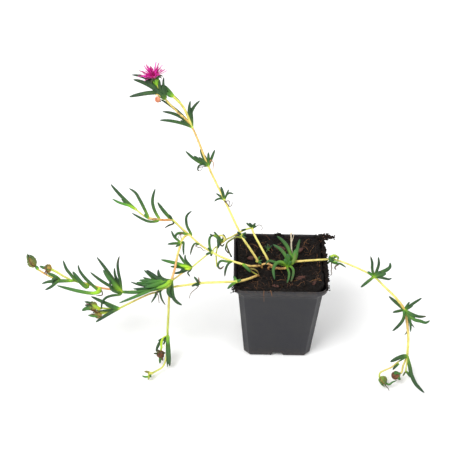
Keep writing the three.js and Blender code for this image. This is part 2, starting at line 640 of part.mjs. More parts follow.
addMesh('pot', makePot(), '#2b2a2f', 0.55);
addMesh('soil', makePottedSoil(), '#2c2018', 0.95);
addMesh('stem_tall', fuse(tallStemParts()), '#7f8f3a', 0.5);
addMesh('bloom_petals', makePetals(), '#b02a86', 0.5);
addMesh('bloom_stamens', makeStamens(), '#d8cf86', 0.6);
addMesh('stem_middle', fuse(middleStemParts()), '#87963c', 0.5);
addMesh('stem_left_back', fuse(leftBackParts()), '#6f9136', 0.5);
addMesh('stem_left_front', fuse(leftFrontParts()), '#68902f', 0.5);
addMesh('stem_right', fuse(rightStemParts()), '#5d8438', 0.5);
addMesh('twig', fuse(twigParts()), '#b9a27a', 0.8);
addMesh('seedling', fuse(seedlingParts()), '#7b7a3a', 0.6);
const tallBudStalk = vector(tallPath[8]).add(fromFront([-5, -1, 3])).toArray();
const peachBud = witheredBud(tallBudStalk, [-2, 0, 1], 2.4, [[-3, -1, 1, 0, 1.4]]);
const lowLeftSepals = [[0, -7, 0, 0, 2], [-6, -1, 2, 0, 2]];
const lowLeftBud = witheredBud(lowBudPath.at(-1), [0, -1, -0.4], 3.8, lowLeftSepals);
const lowRightSepals = [[-5, -3, 2, 0, 2], [-3, 5, 2, 0, 1.8]];
const lowRightBud = witheredBud(lowRightBudPath.at(-1), [-3, -1.4, 0], 3.4, lowRightSepals);
addMesh('bud_withered', peachBud, '#d8a184', 0.7);
addMesh('bud_low_left', lowLeftBud, '#6a4228', 0.7);
addMesh('bud_low_right', lowRightBud, '#6f4c2a', 0.7);
chips.forEach((chip, i) => addMesh(`bark_chip_${i + 1}`, chipSolid(chip), '#5a3420', 0.85));

export default group;
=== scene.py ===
import math

import bpy
import numpy as np
from mathutils import Matrix, Vector


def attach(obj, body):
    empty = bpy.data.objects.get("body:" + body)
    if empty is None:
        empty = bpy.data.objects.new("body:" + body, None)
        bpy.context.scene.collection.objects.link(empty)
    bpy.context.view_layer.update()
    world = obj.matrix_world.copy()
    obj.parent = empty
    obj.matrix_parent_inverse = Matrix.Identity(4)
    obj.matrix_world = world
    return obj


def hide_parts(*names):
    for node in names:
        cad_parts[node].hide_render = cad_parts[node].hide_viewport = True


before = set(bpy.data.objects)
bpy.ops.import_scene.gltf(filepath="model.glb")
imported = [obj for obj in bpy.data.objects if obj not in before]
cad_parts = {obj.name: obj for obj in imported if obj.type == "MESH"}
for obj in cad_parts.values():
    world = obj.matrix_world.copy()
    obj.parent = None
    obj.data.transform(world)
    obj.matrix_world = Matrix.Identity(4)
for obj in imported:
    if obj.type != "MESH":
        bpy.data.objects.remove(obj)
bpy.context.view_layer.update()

metre = 0.001
lookDown = math.radians(37.4)
right = np.array([1.0, 0.0, 0.0])
up = np.array([0.0, math.sin(lookDown), math.cos(lookDown)])
near = np.array([0.0, -math.cos(lookDown), math.sin(lookDown)])
zAxis = np.array([0.0, 0.0, 1.0])
goldenAngle = math.pi * (3 - math.sqrt(5))


# Camera and lights

camera = {
    "focalPixels": 1150.0,
    "imagePixels": 452,
    "sensor": 36.0,
    "distance": 1141.0,
    "roll": math.radians(1.0),
    "aim": np.array([0.0, 0.0, 50.0]),
    "aimRight": 51.7,  # how far right of the picture's middle the aim point is seen
    "aimUp": -69.2,  # and how far above it
    "clip": (0.05, 20.0),
}


def addCamera():
    forward = -near
    across = math.cos(camera["roll"]) * right + math.sin(camera["roll"]) * up
    upward = math.cos(camera["roll"]) * up - math.sin(camera["roll"]) * right
    at = camera["aim"] - camera["aimRight"] * across - camera["aimUp"] * upward - camera["distance"] * forward
    data = bpy.data.cameras.new("camera")
    data.sensor_width = camera["sensor"]
    data.lens = camera["focalPixels"] / camera["imagePixels"] * camera["sensor"]
    data.clip_start, data.clip_end = camera["clip"]
    holder = bpy.data.objects.new("camera", data)
    turn = Matrix((across, upward, -forward)).transposed().to_4x4()
    holder.matrix_world = Matrix.Translation(Vector(at * metre)) @ turn
    bpy.context.scene.collection.objects.link(holder)
    bpy.context.scene.camera = holder


lights = {
    "key": {"at": (-0.75, -0.75, 1.45), "size": 1.1, "power": 25.0},
    "fill": {"at": (1.15, -0.55, 0.95), "size": 1.2, "power": 7.0},
    "back": {"at": (0.1, 1.2, 1.2), "size": 1.0, "power": 6.0},
    "sky": 0.62,
    "aim": Vector((0.0, 0.0, 0.09)),
}


def addLights():
    for name in ("key", "fill", "back"):
        settings = lights[name]
        data = bpy.data.lights.new(name, "AREA")
        data.shape = "DISK"
        data.size = settings["size"]
        data.energy = settings["power"]
        holder = bpy.data.objects.new(name, data)
        holder.location = settings["at"]
        holder.rotation_euler = (lights["aim"] - Vector(settings["at"])).to_track_quat("-Z", "Y").to_euler()
        bpy.context.scene.collection.objects.link(holder)
    world = bpy.data.worlds.new("sky")
    world.use_nodes = True
    background = world.node_tree.nodes["Background"]
    background.inputs["Color"].default_value = (1.0, 1.0, 1.0, 1.0)
    background.inputs["Strength"].default_value = lights["sky"]
    bpy.context.scene.world = world
    bpy.context.scene.view_settings.view_transform = "Standard"


# Shader helpers

def colour(code):
    # "#rrggbb" as linear light: ((c + 0.055) / 1.055) to the power 2.4, or c / 12.92 when dark
    shares = [int(code[i:i + 2], 16) / 255 for i in (1, 3, 5)]
    linear = [((c + 0.055) / 1.055) ** 2.4 if c > 0.04045 else c / 12.92 for c in shares]
    return (*linear, 1.0)


def addNode(tree, kind, inputs, **settings):
    # A node with its settings, and a link or a constant on each input
    made = tree.nodes.new("ShaderNode" + kind)
    for key, value in settings.items():
        setattr(made, key, value)
    for key, value in inputs.items():
        if isinstance(value, bpy.types.NodeSocket):
            tree.links.new(value, made.inputs[key])
        else:
            made.inputs[key].default_value = value
    return made


def mixColours(tree, share, first, second):
    # Each colour is a code or a link
    first, second = (colour(one) if isinstance(one, str) else one for one in (first, second))
    return addNode(tree, "Mix", {0: share, 6: first, 7: second}, data_type="RGBA").outputs[2]


def calculate(tree, operation, first, second=0.0, clamp=False):
    return addNode(tree, "Math", {0: first, 1: second}, operation=operation, use_clamp=clamp).outputs[0]


def rescale(tree, value, low, high, newLow=0.0, newHigh=1.0):
    return addNode(tree, "MapRange", {0: value, 1: low, 2: high, 3: newLow, 4: newHigh}).outputs[0]


def noise(tree, where, scale, detail=3.0, roughness=0.5):
    inputs = {"Vector": where, "Scale": scale, "Detail": detail, "Roughness": roughness}
    return addNode(tree, "TexNoise", inputs).outputs["Fac"]


def tint(tree, base, mask, strength, code):
    # The base with a colour laid over it by mask·strength
    return mixColours(tree, calculate(tree, "MULTIPLY", mask, strength), base, code)


def ramp(tree, value, stops):
    made = addNode(tree, "ValToRGB", {0: value})
    elements = made.color_ramp.elements
    while len(elements) < len(stops):
        elements.new(0.5)
    for element, (at, code) in zip(elements, stops):
        element.position = at
        element.color = colour(code)
    return made.outputs[0]


def mark(tree, name, output="Fac"):
    return addNode(tree, "Attribute", {}, attribute_name=name).outputs[output]


# Effects that several materials share, each a group that gives out masks, heights or colours

socketKinds = {"Vector": "NodeSocketVector", "Color": "NodeSocketColor", "Dried Color": "NodeSocketColor"}


def newGroup(name, inputs, outputs):
    # Inputs with their constants, or None where a link always comes in
    group = bpy.data.node_groups.new(name, "ShaderNodeTree")
    for way, labels in (("INPUT", inputs), ("OUTPUT", outputs)):
        for label in labels:
            kind = socketKinds.get(label, "NodeSocketFloat")
            socket = group.interface.new_socket(label, in_out=way, socket_type=kind)
            if way == "INPUT" and inputs[label] is not None:
                socket.default_value = inputs[label]
    return group, group.nodes.new("NodeGroupInput").outputs


def closeGroup(group, results):
    taken = group.nodes.new("NodeGroupOutput").inputs
    for label, socket in results.items():
        group.links.new(socket, taken[label])
    return group


def makeMottle():
    # Cloudy patches: coarse noise with a third of finer noise on it
    group, given = newGroup("mottle", {"Vector": None, "Scale": 200.0, "Sharpness": 0.3}, ("Mask", "Height"))
    coarse = noise(group, given["Vector"], given["Scale"])
    fine = noise(group, given["Vector"], calculate(group, "MULTIPLY", given["Scale"], 4.7), 4.0)
    small = calculate(group, "MULTIPLY", fine, 0.35)
    both = calculate(group, "ADD", calculate(group, "MULTIPLY", coarse, 0.65), small)
    low = calculate(group, "MULTIPLY", given["Sharpness"], 0.5)
    high = calculate(group, "SUBTRACT", 1.0, low)
    return closeGroup(group, {"Mask": rescale(group, both, low, high), "Height": both})


def makeStreaks():
    # Lines that run along a piece: noise on the mark "lie", which hardly changes along it
    group, given = newGroup("streaks", {"Vector": None, "Scale": 2.0}, ("Mask", "Height"))
    lines = noise(group, given["Vector"], given["Scale"], roughness=0.6)
    return closeGroup(group, {"Mask": rescale(group, lines, 0.35, 0.65), "Height": lines})


def makePapillae():
    # Water cells on fleshy skin: round bumps, each highest at its middle
    group, given = newGroup("papillae", {"Vector": None, "Scale": 2600.0}, ("Mask", "Height"))
    cells = addNode(group, "TexVoronoi", {"Vector": given["Vector"], "Scale": given["Scale"]})
    height = calculate(group, "SUBTRACT", 1.0, cells.outputs["Distance"], clamp=True)
    return closeGroup(group, {"Mask": rescale(group, height, 0.75, 0.98), "Height": height})


def makeWither():
    # Dried patches: the mark "dry" breaks up along noise before it takes over
    group, given = newGroup(
        "wither", {"Color": None, "Dried Color": None, "Dry": 0.0, "Vector": None}, ("Color", "Mask"),
    )
    ragged = calculate(group, "ADD", given["Dry"], noise(group, given["Vector"], 420.0))
    mask = rescale(group, ragged, 0.62, 0.9)
    return closeGroup(group, {"Color": mixColours(group, mask, given["Color"], given["Dried Color"]), "Mask": mask})


mottle = makeMottle()
streaks = makeStreaks()
papillae = makePapillae()
wither = makeWither()


def place(tree, group, inputs):
    return addNode(tree, "Group", inputs, node_tree=group).outputs


def cloud(tree, where, scale, sharpness):
    return place(tree, mottle, {"Vector": where, "Scale": scale, "Sharpness": sharpness})


def lengthways(tree, scale):
    return place(tree, streaks, {"Vector": mark(tree, "lie", "Vector"), "Scale": scale})


def withered(tree, where, base, code):
    inputs = {"Color": base, "Dried Color": colour(code), "Dry": mark(tree, "dry"), "Vector": where}
    return place(tree, wither, inputs)["Color"]


# Materials

def startMaterial(name):
    material = bpy.data.materials.new(name)
    material.use_nodes = True
    tree = material.node_tree
    shader = tree.nodes["Principled BSDF"]
    where = tree.nodes.new("ShaderNodeTexCoord").outputs["Object"]
    return material, tree, shader, where


def glow(shader, weight, radius, scale):
    # Light that goes a little way under the skin
    shader.inputs["Subsurface Weight"].default_value = weight
    shader.inputs["Subsurface Radius"].default_value = radius
    shader.inputs["Subsurface Scale"].default_value = scale


def finishMaterial(tree, shader, base, mask, rough, height, strength, distance):
    # Roughness goes from its first value to its second by the mask, and the height makes the bumps
    tree.links.new(base, shader.inputs["Base Color"])
    tree.links.new(rescale(tree, mask, 0.0, 1.0, *rough), shader.inputs["Roughness"])
    bump = addNode(tree, "Bump", {"Strength": strength, "Distance": distance, "Height": height})
    tree.links.new(bump.outputs[0], shader.inputs["Normal"])


def makeLeafFlesh():
    material, tree, shader, where = startMaterial("leafFlesh")
    along = mark(tree, "along")
    old = ramp(tree, along, [
        (0.0, "#a4bc2c"), (0.1, "#5e8a24"), (0.28, "#2d4e25"), (0.7, "#213c27"), (1.0, "#1d3029"),
    ])
    young = ramp(tree, along, [(0.0, "#dcf03c"), (0.16, "#9cd42c"), (0.45, "#549230"), (1.0, "#366634")])
    green = mixColours(tree, mark(tree, "tone"), old, young)
    shade = tint(tree, green, cloud(tree, where, 320.0, 0.7)["Mask"], 0.2, "#5c8a36")
    varied = tint(tree, shade, mark(tree, "seed"), 0.3, "#203828")
    aged = withered(tree, where, mixColours(tree, mark(tree, "warm"), varied, "#c98a4a"), "#5c4a3a")
    cells = place(tree, papillae, {"Vector": where, "Scale": 2400.0})
    shader.inputs["Specular IOR Level"].default_value = 0.32
    glow(shader, 0.1, (0.5, 1.0, 0.3), 0.0012)
    finishMaterial(tree, shader, aged, cells["Mask"], (0.62, 0.5), cells["Height"], 0.35, 0.00012)
    return material


def makeStemSkin():
    material, tree, shader, where = startMaterial("stemSkin")
    lines = lengthways(tree, 2.2)
    pale = mixColours(tree, lines["Mask"], "#c2b550", "#fbf390")
    blush = mixColours(tree, lines["Mask"], "#b0703a", "#eeaa72")
    green = mixColours(tree, lines["Mask"], "#86a02c", "#c4d848")
    fresh = mixColours(tree, mark(tree, "tone"), mixColours(tree, mark(tree, "warm"), pale, blush), green)
    aged = withered(tree, where, fresh, "#7a5334")
    glow(shader, 0.08, (1.0, 0.7, 0.3), 0.001)
    finishMaterial(tree, shader, aged, lines["Mask"], (0.55, 0.42), lines["Height"], 0.4, 0.0002)
    return material


def makeHusk(name, low, high, dark, rough):
    # Withered skin, wrinkled lengthways, darker in patches
    material, tree, shader, where = startMaterial(name)
    lines = lengthways(tree, 3.5)
    patches = cloud(tree, where, 500.0, 0.8)
    base = tint(tree, mixColours(tree, lines["Mask"], low, high), patches["Mask"], 0.6, dark)
    height = calculate(tree, "ADD", lines["Height"], patches["Height"])
    finishMaterial(tree, shader, base, patches["Mask"], (rough - 0.1, rough), height, 0.6, 0.0004)
    return material


def makePetalSkin():
    material, tree, shader, _ = startMaterial("petalSkin")
    lines = lengthways(tree, 2.0)
    body = ramp(tree, mark(tree, "along"), [(0.0, "#f8d8b0"), (0.16, "#ec7c94"), (0.34, "#d02080"), (1.0, "#dc3098")])
    veined = tint(tree, body, lines["Mask"], 0.5, "#6a0c42")
    # Bright pink laid on by the mark "seed": random tone on most petals, and a painted highlight in full on the stray
    # petals from the one the bloom table names on
    toneAndPaintedHighlight = tint(tree, veined, mark(tree, "seed"), 0.55, "#ff3cd0")
    wine = mixColours(tree, rescale(tree, mark(tree, "seed"), 0.0, 0.3, 0.5, 0.0), toneAndPaintedHighlight, "#6e1040")
    glow(shader, 0.12, (1.0, 0.3, 0.7), 0.0008)
    finishMaterial(tree, shader, wine, lines["Mask"], (0.4, 0.55), lines["Height"], 0.4, 0.00015)
    return material


def makePollenThread():
    material, tree, shader, where = startMaterial("pollenThread")
    grains = cloud(tree, where, 1500.0, 0.6)
    body = ramp(tree, mark(tree, "along"), [(0.0, "#dfe0a0"), (0.6, "#f2edcf"), (0.75, "#e9cf6a"), (1.0, "#d9a83c")])
    base = tint(tree, body, grains["Mask"], 0.4, "#f7f0d8")
    finishMaterial(tree, shader, base, grains["Mask"], (0.6, 0.8), grains["Height"], 0.5, 0.0002)
    return material


def makePeat():
    material, tree, shader, where = startMaterial("peat")
    crumbs = cloud(tree, where, 900.0, 0.6)
    clumped = mixColours(tree, cloud(tree, where, 160.0, 0.75)["Mask"], "#040303", "#0c0907")
    base = tint(tree, mixColours(tree, mark(tree, "seed"), clumped, "#1c100a"), crumbs["Mask"], 0.2, "#2a2018")
    shader.inputs["Specular IOR Level"].default_value = 0.25
    finishMaterial(tree, shader, base, crumbs["Mask"], (0.85, 0.98), crumbs["Height"], 0.8, 0.0008)
    return material


def makeBark():
    material, tree, shader, where = startMaterial("bark")
    lines = lengthways(tree, 2.6)
    patches = cloud(tree, where, 420.0, 0.7)
    base = tint(tree, mixColours(tree, lines["Mask"], "#341a14", "#623428"), patches["Mask"], 0.55, "#2b1a13")
    height = calculate(tree, "ADD", lines["Height"], patches["Height"])
    finishMaterial(tree, shader, base, patches["Mask"], (0.75, 0.92), height, 0.9, 0.0008)
    return material


def makeFibre():
    # Roots and coir threads, from dark brown to golden by the mark "seed"
    material, tree, shader, _ = startMaterial("fibre")
    lines = lengthways(tree, 3.0)
    body = ramp(tree, mark(tree, "seed"), [(0.0, "#3c271b"), (0.4, "#6d452c"), (0.75, "#9c6c3f"), (1.0, "#c8a068")])
    base = tint(tree, body, lines["Mask"], 0.35, "#2c1d15")
    finishMaterial(tree, shader, base, lines["Mask"], (0.7, 0.85), lines["Height"], 0.5, 0.0002)
    return material


def makePotPlastic():
    # Matte moulded plastic with a fine grain, rubbed paler patches and soil dust near the rim and the foot
    material, tree, shader, where = startMaterial("potPlastic")
    rubbed = cloud(tree, where, 38.0, 0.75)
    height = addNode(tree, "SeparateXYZ", {0: where}).outputs["Z"]
    ends = calculate(tree, "ADD", rescale(tree, height, 0.080, 0.094), rescale(tree, height, 0.012, 0.0), True)
    dusted = calculate(tree, "MULTIPLY", ends, cloud(tree, where, 330.0, 0.9)["Mask"])
    base = tint(tree, mixColours(tree, rubbed["Mask"], "#0b0b12", "#13131c"), dusted, 0.55, "#3a2d24")
    grain = cloud(tree, where, 1700.0, 0.5)["Height"]
    finishMaterial(tree, shader, base, rubbed["Mask"], (0.44, 0.58), grain, 0.25, 0.0002)
    return material


def makeFloor():
    material, tree, shader, where = startMaterial("paleFloor")
    patches = cloud(tree, where, 3.0, 0.2)
    base = mixColours(tree, patches["Mask"], (0.9, 0.9, 0.9, 1.0), (0.92, 0.92, 0.92, 1.0))
    shader.inputs["Specular IOR Level"].default_value = 0.1
    finishMaterial(tree, shader, base, patches["Mask"], (0.85, 0.9), patches["Height"], 0.05, 0.001)
    return material


leafFlesh = makeLeafFlesh()
stemSkin = makeStemSkin()
budHusk = makeHusk("budHusk", "#6d6a2c", "#a8983c", "#4a2c1e", 0.6)
brownHusk = makeHusk("brownHusk", "#43241a", "#9a6034", "#24110e", 0.75)
peachHusk = makeHusk("peachHusk", "#c9764f", "#e8a57c", "#a04a34", 0.75)
twigSkin = makeHusk("twigSkin", "#ecd9b8", "#fff8e8", "#c4ab84", 0.85)
petalSkin = makePetalSkin()
pollenThread = makePollenThread()
peat = makePeat()
bark = makeBark()
fibre = makeFibre()
potPlastic = makePotPlastic()
paleFloor = makeFloor()
print("materials ready")


# Mesh helpers: a shell is a closed surface with its marks, and a piece joins shells into one mesh

floatMarks = ("along", "tone", "warm", "dry", "seed")
lieStep = 0.07  # how much the mark "lie" changes with a millimetre along a shell
lieShift = 9.0  # and with its seed, so that no two shells have the same streaks


def unit(vectors):
    return vectors / np.maximum(np.linalg.norm(vectors, axis=-1, keepdims=True), 1e-9)


def fromFront(offsets):
    # Right, up and near as the camera sees them
    r, u, n = offsets
    return r * right + u * up + n * near


def anglesOf(sides):
    return 2 * np.pi * np.arange(sides) / sides


def distances(line):
    # How far along a line each of its points lies
    return np.concatenate([[0.0], np.cumsum(np.linalg.norm(np.diff(line, axis=0), axis=1))])


def ringsAround(centres, wide, high, side, other):
    # Corners: centre + wide·side + high·other
    return centres[:, None] + wide[..., None] * side + high[..., None] * other


def gridFaces(rings, sides):
    # Quads between neighbouring rings, and a fan to a point at each end
    k = np.arange(sides)
    after = (k + 1) % sides
    start = (np.arange(rings - 1) * sides)[:, None]
    quads = np.stack([start + k, start + after, start + sides + after, start + sides + k], axis=-1).reshape(-1, 4)
    first = rings * sides
    last = (rings - 1) * sides
    foot = np.stack([np.full(sides, first), after, k], axis=-1)
    tip = np.stack([last + k, last + after, np.full(sides, first + 1)], axis=-1)
    return quads, np.concatenate([foot, tip])


def shell(rings, finish=0, **marks):
    # rings is an array of ring, corner, xyz; the two end points are the means of the end rings
    count, sides = rings.shape[:2]
    ends = np.stack([rings[0].mean(axis=0), rings[-1].mean(axis=0)])
    quads, triangles = gridFaces(count, sides)
    made = {
        "points": np.concatenate([rings.reshape(-1, 3), ends]),
        "quads": quads, "triangles": triangles, "finish": finish,
    }
    for name in floatMarks:
        value = np.asarray(marks.get(name, 0.0), float)
        filled = np.broadcast_to(value.reshape(-1, 1), (count, sides))
        made[name] = np.concatenate([filled.reshape(-1), [filled[0, 0], filled[-1, 0]]])
    angle = anglesOf(sides)
    length = distances(rings.mean(axis=1))[:, None] * lieStep
    lie = np.stack(np.broadcast_arrays(np.cos(angle), np.sin(angle), length), axis=-1)
    lie = lie + marks.get("seed", 0.0) * lieShift
    made["lie"] = np.concatenate([lie.reshape(-1, 3), lie[0, :1], lie[-1, :1]])
    return made


def flatten(shells):
    return [one for entry in shells for one in (flatten(entry) if isinstance(entry, list) else [entry])]


def addPiece(name, shells, materials, nodes, smooth=True):
    shells = flatten(shells)
    starts = np.cumsum([0] + [len(one["points"]) for one in shells])
    points = np.concatenate([one["points"] for one in shells]) * metre
    faces = []
    finishes = []
    for one, start in zip(shells, starts):
        faces += (one["quads"] + start).tolist() + (one["triangles"] + start).tolist()
        finishes += [one["finish"]] * (len(one["quads"]) + len(one["triangles"]))
    mesh = bpy.data.meshes.new(name)
    mesh.from_pydata(points.tolist(), [], faces)
    for material in materials:
        mesh.materials.append(material)
    mesh.polygons.foreach_set("material_index", finishes)
    mesh.polygons.foreach_set("use_smooth", [smooth] * len(faces))
    for key in floatMarks:
        values = np.concatenate([one[key] for one in shells])
        mesh.attributes.new(key, "FLOAT", "POINT").data.foreach_set("value", values.astype(np.float32))
    lie = np.concatenate([one["lie"] for one in shells])
    mesh.attributes.new("lie", "FLOAT_VECTOR", "POINT").data.foreach_set("vector", lie.astype(np.float32).ravel())
    mesh.update()
    piece = bpy.data.objects.new(name, mesh)
    bpy.context.scene.collection.objects.link(piece)
    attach(piece, "root")
    if nodes:
        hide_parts(*nodes)
    triangleCount = sum(2 * len(one["quads"]) + len(one["triangles"]) for one in shells)
    print(f"{name}: {len(shells)} shells, {triangleCount} triangles")


def frames(centres, reference):
    # Two directions across a line at each of its points, so that side, other and along are right-handed
    along = unit(np.gradient(centres, axis=0))
    side = unit(np.cross(along, reference))
    return side, np.cross(along, side)


def tube(centres, radii, sides=10, flatness=1.0, reference=near, **marks):
    # Ring corner: centre + radius·(cos·side + flatness·sin·other)
    side, other = frames(centres, reference)
    angle = anglesOf(sides)
    radii = np.broadcast_to(radii, len(centres))[:, None, None]
    rings = centres[:, None] + radii * (
        np.cos(angle)[None, :, None] * side[:, None] + flatness * np.sin(angle)[None, :, None] * other[:, None]
    )
    return shell(rings, **marks)


def curveThrough(path, step):
    # Uniform Catmull-Rom curve, its end points mirrored, with samples about a step apart and on every point
    path = np.asarray(path, float)
    counts = np.maximum(2, np.round(np.linalg.norm(np.diff(path, axis=0), axis=1) / step)).astype(int)
    t = np.concatenate([i + np.arange(n) / n for i, n in enumerate(counts)] + [[len(path) - 1.0]])
    i = np.minimum(t.astype(int), len(path) - 2)
    f = (t - i)[:, None]
    padded = np.concatenate([[2 * path[0] - path[1]], path, [2 * path[-1] - path[-2]]])
    a, b, c, d = (padded[i + k] for k in range(4))
    curve = b + 0.5 * f * (c - a + f * (2 * a - 5 * b + 4 * c - d + f * (3 * (b - c) + d - a)))
    return curve, t / (len(path) - 1)


def spread(values, shares):
    # Values set out evenly along a stem, read at each share of it
    return np.interp(shares, np.linspace(0, 1, len(values)), values)


def lumpy(x, y, cell, seed):
    # Random heights on a square lattice, smoothed between with f·f·(3 − 2f)
    table = np.random.default_rng(seed).random((64, 64))
    gx, gy = x / cell, y / cell
    ix, iy = np.floor(gx).astype(int), np.floor(gy).astype(int)
    fx, fy = gx - ix, gy - iy
    sx, sy = fx * fx * (3 - 2 * fx), fy * fy * (3 - 2 * fy)
    corner = [[table[(ix + i) % 64, (iy + j) % 64] for j in (0, 1)] for i in (0, 1)]
    low = corner[0][0] * (1 - sx) + corner[1][0] * sx
    high = corner[0][1] * (1 - sx) + corner[1][1] * sx
    return low * (1 - sy) + high * sy


# Pot

pot = {
    "height": 93.0,
    "rimBand": 5.0,
    "shoulder": 6.0,
    "topHalf": 40.2,
    "shoulderHalf": 43.85,
    "baseHalf": 32.8,
    "bodyCorner": 6.0,
    "rimCorner": 9.0,
    "wall": 1.3,
    "floor": 2.0,
    "archDepth": 12.0,
    "archHeight": 4.6,
    "archColumns": [(-6.4, 0.0), (-6.0, 0.0), (-4.2, 4.2), (-3.7, 4.6), (0.0, 4.6),
                    (3.7, 4.6), (4.2, 4.2), (6.0, 0.0), (6.4, 0.0)],
    "footRow": 6.0,  # the first row of the wall that runs level above the arches
    "drainRadius": 3.0,
    "drainDepth": 7.0,
    "cornerSteps": 12,
    "middle": (12.0, 3.6),  # half width and corner of the innermost ring of the underside and the floor
    "seam": 0.05,  # between the end of the arches and the next ring inwards
    # Level and inset of the rings from the rounded foot up the outer wall
    "outerRings": [(0.0, 1.5), (0.25, 0.75), (0.7, 0.25), (1.5, 0.0), (6.0, 0.0), (20.0, 0.0), (40.0, 0.0),
                   (60.0, 0.0), (78.0, 0.0), (81.6, 0.0)],
    # Level, half width and share of the rim's corner, up the outside of the rim and down its inside
    "rimRings": [(82.1, 40.3, 0.02), (83.2, 40.9, 0.2), (86.6, 43.1, 0.8), (87.7, 43.85, 0.98), (88.2, 44.05, 1.0),
                 (90.4, 44.5, 1.0), (92.2, 44.9, 1.0), (92.7, 44.88, 1.0), (93.0, 44.5, 1.0), (93.05, 44.1, 1.0),
                 (93.0, 43.65, 1.0), (92.7, 43.3, 1.0), (90.4, 43.0, 1.0), (88.2, 42.75, 1.0), (86.6, 41.8, 0.8),
                 (83.2, 39.6, 0.2)],
    "innerLevels": (81.6, 60.0, 40.0, 20.0, 7.5),
}
bodyTop = pot["height"] - pot["rimBand"] - pot["shoulder"]
wallSlope = (pot["topHalf"] - pot["baseHalf"]) / bodyTop


def bodyHalf(z):
    return pot["baseHalf"] + wallSlope * z


def cornerCurve(roundness):
    # From (1, 0) to (0, 1): a straight cut with softened ends, or a quarter circle
    t = np.linspace(0, 1, pot["cornerSteps"] + 1)
    angle = t * np.pi / 2
    soft = 0.09 * np.sin(np.pi * t) ** 0.5 * (np.abs(t - 0.5) * 2) ** 3
    cut = np.stack([1 - t + soft, t + soft], axis=-1)
    arc = np.stack([np.cos(angle), np.sin(angle)], axis=-1)
    return cut + (arc - cut) * roundness


def potRing(half, corner, roundness):
    # One side and one corner, then three more turned by quarters
    outer = pot["archColumns"][-1][0]
    end = half - corner
    plain = outer + (end - outer) * np.array([1 / 3, 2 / 3])
    columns = np.concatenate([-plain[::-1], [at for at, _ in pot["archColumns"]], plain])
    side = np.stack([np.full(len(columns), half), columns], axis=-1)
    bend = end + corner * cornerCurve(roundness)
    quarter = np.concatenate([side, bend])
    turned = [quarter]
    for _ in range(3):
        last = turned[-1]
        turned.append(np.stack([-last[:, 1], last[:, 0]], axis=-1))
    return np.concatenate(turned)


def potColumns():
    # How high the arch lifts each column, and the way that each column faces
    lift = np.concatenate([[0, 0], [z for _, z in pot["archColumns"]], [0, 0], np.zeros(pot["cornerSteps"] + 1)])
    facing = [np.broadcast_to(way, (len(lift), 2)) for way in ((1, 0), (0, 1), (-1, 0), (0, -1))]
    return np.tile(lift, 4), np.concatenate(facing)


def makePot():
    lift, facing = potColumns()
    rings = []

    def addRing(half, corner, roundness, z):
        outline = potRing(half, corner, roundness)
        rings.append(np.concatenate([outline, np.broadcast_to(z, len(outline))[:, None]], axis=1))

    corner, wall, base, floor = pot["bodyCorner"], pot["wall"], pot["baseHalf"], pot["floor"]
    innermost = base - pot["archDepth"] - pot["seam"]
    addRing(*pot["middle"], 0.0, 0.0)
    addRing(innermost, corner, 0.0, 0.0)
    drainDepths = (10.0, pot["drainDepth"], 4.0)
    for depth in (pot["archDepth"], *drainDepths):
        addRing(base - depth, corner, 0.0, lift)
    below = len(rings) - 2
    for z, inset in pot["outerRings"]:
        climb = np.where(z < pot["footRow"], lift * (1 - z / pot["footRow"]), 0.0)
        addRing(bodyHalf(z) - inset, corner, 0.0, z + climb)
        rings[-1][:, :2] += facing * (climb * wallSlope + inset * lift / pot["archHeight"])[:, None]
    for z, half, share in pot["rimRings"]:
        addRing(half, corner + (pot["rimCorner"] - corner) * share, share, z)
    for z in pot["innerLevels"]:
        addRing(bodyHalf(z) - wall, corner, 0.0, z)
    inside = np.where(lift > 0, lift + wall, floor)
    addRing(bodyHalf(floor) - wall, corner, 0.0, inside)
    above = len(rings) + 1
    for depth in (*drainDepths[::-1], pot["archDepth"] + wall):
        addRing(base - depth, corner, 0.0, inside)
    addRing(innermost - wall, corner, 0.0, floor)
    addRing(*pot["middle"], 0.0, floor)
    made = shell(np.stack(rings))
    cutDrains(made, len(lift), below, above)
    return made


def cutDrains(made, columns, below, above):
    # Round hole through each arch's ceiling: the eight points about a middle one go onto a circle
    aroundMiddle = [(-1, -1), (0, -1), (1, -1), (1, 0), (1, 1), (0, 1), (-1, 1), (-1, 0)]
    middles = []
    walls = []
    for quarter in range(4):
        column = quarter * columns // 4 + 2 + len(pot["archColumns"]) // 2
        turn = quarter * np.pi / 2
        centre = (pot["baseHalf"] - pot["drainDepth"]) * np.array([np.cos(turn), np.sin(turn)])
        low = np.array([(below + r) * columns + column + c for c, r in aroundMiddle])
        high = np.array([(above - r) * columns + column + c for c, r in aroundMiddle])
        for loop in (low, high):
            spokes = unit(made["points"][loop, :2] - centre)
            made["points"][loop, :2] = centre + pot["drainRadius"] * spokes
        after = np.roll(np.arange(8), -1)
        walls.append(np.stack([low, low[after], high[after], high], axis=-1))
        middles += [below * columns + column, above * columns + column]
    kept = ~np.isin(made["quads"], middles).any(axis=1)
    made["quads"] = np.concatenate([made["quads"][kept]] + walls)


addPiece("potBody", [makePot()], [potPlastic], ["pot"])


# Peat, its crumbs and what lies in it

soil = {
    "level": 86.5,
    "slope": 0.055,
    "lump": 1.1,
    "bank": 2.4,  # how much higher it lies along the front
    "backBank": 5.4,
    "rightBank": 5.4,
    "rings": 56,
    "around": 336,
    "bottom": 6.6,
    "gap": 0.35,
    "brim": 86.0,  # the level at which the top meets the wall
    "crumbs": 1500,
    "crumbSizes": (0.35, 1.25),
    "crumbMargin": 0.8,
    "seed": 11,
    "shapeSeed": 12,
}


def soilHeight(x, y):
    large = np.sin(x / 9 + 1.3) * np.cos(y / 8 + 0.4)
    middle = np.sin(x / 3.7 + y / 5.1) * np.cos(y / 3.9 - x / 6.3)
    small = np.sin(x / 1.9 - y / 2.3 + 2)
    return soil["level"] - soil["slope"] * y + soil["lump"] * (0.7 * large + 0.5 * middle + 0.25 * small)


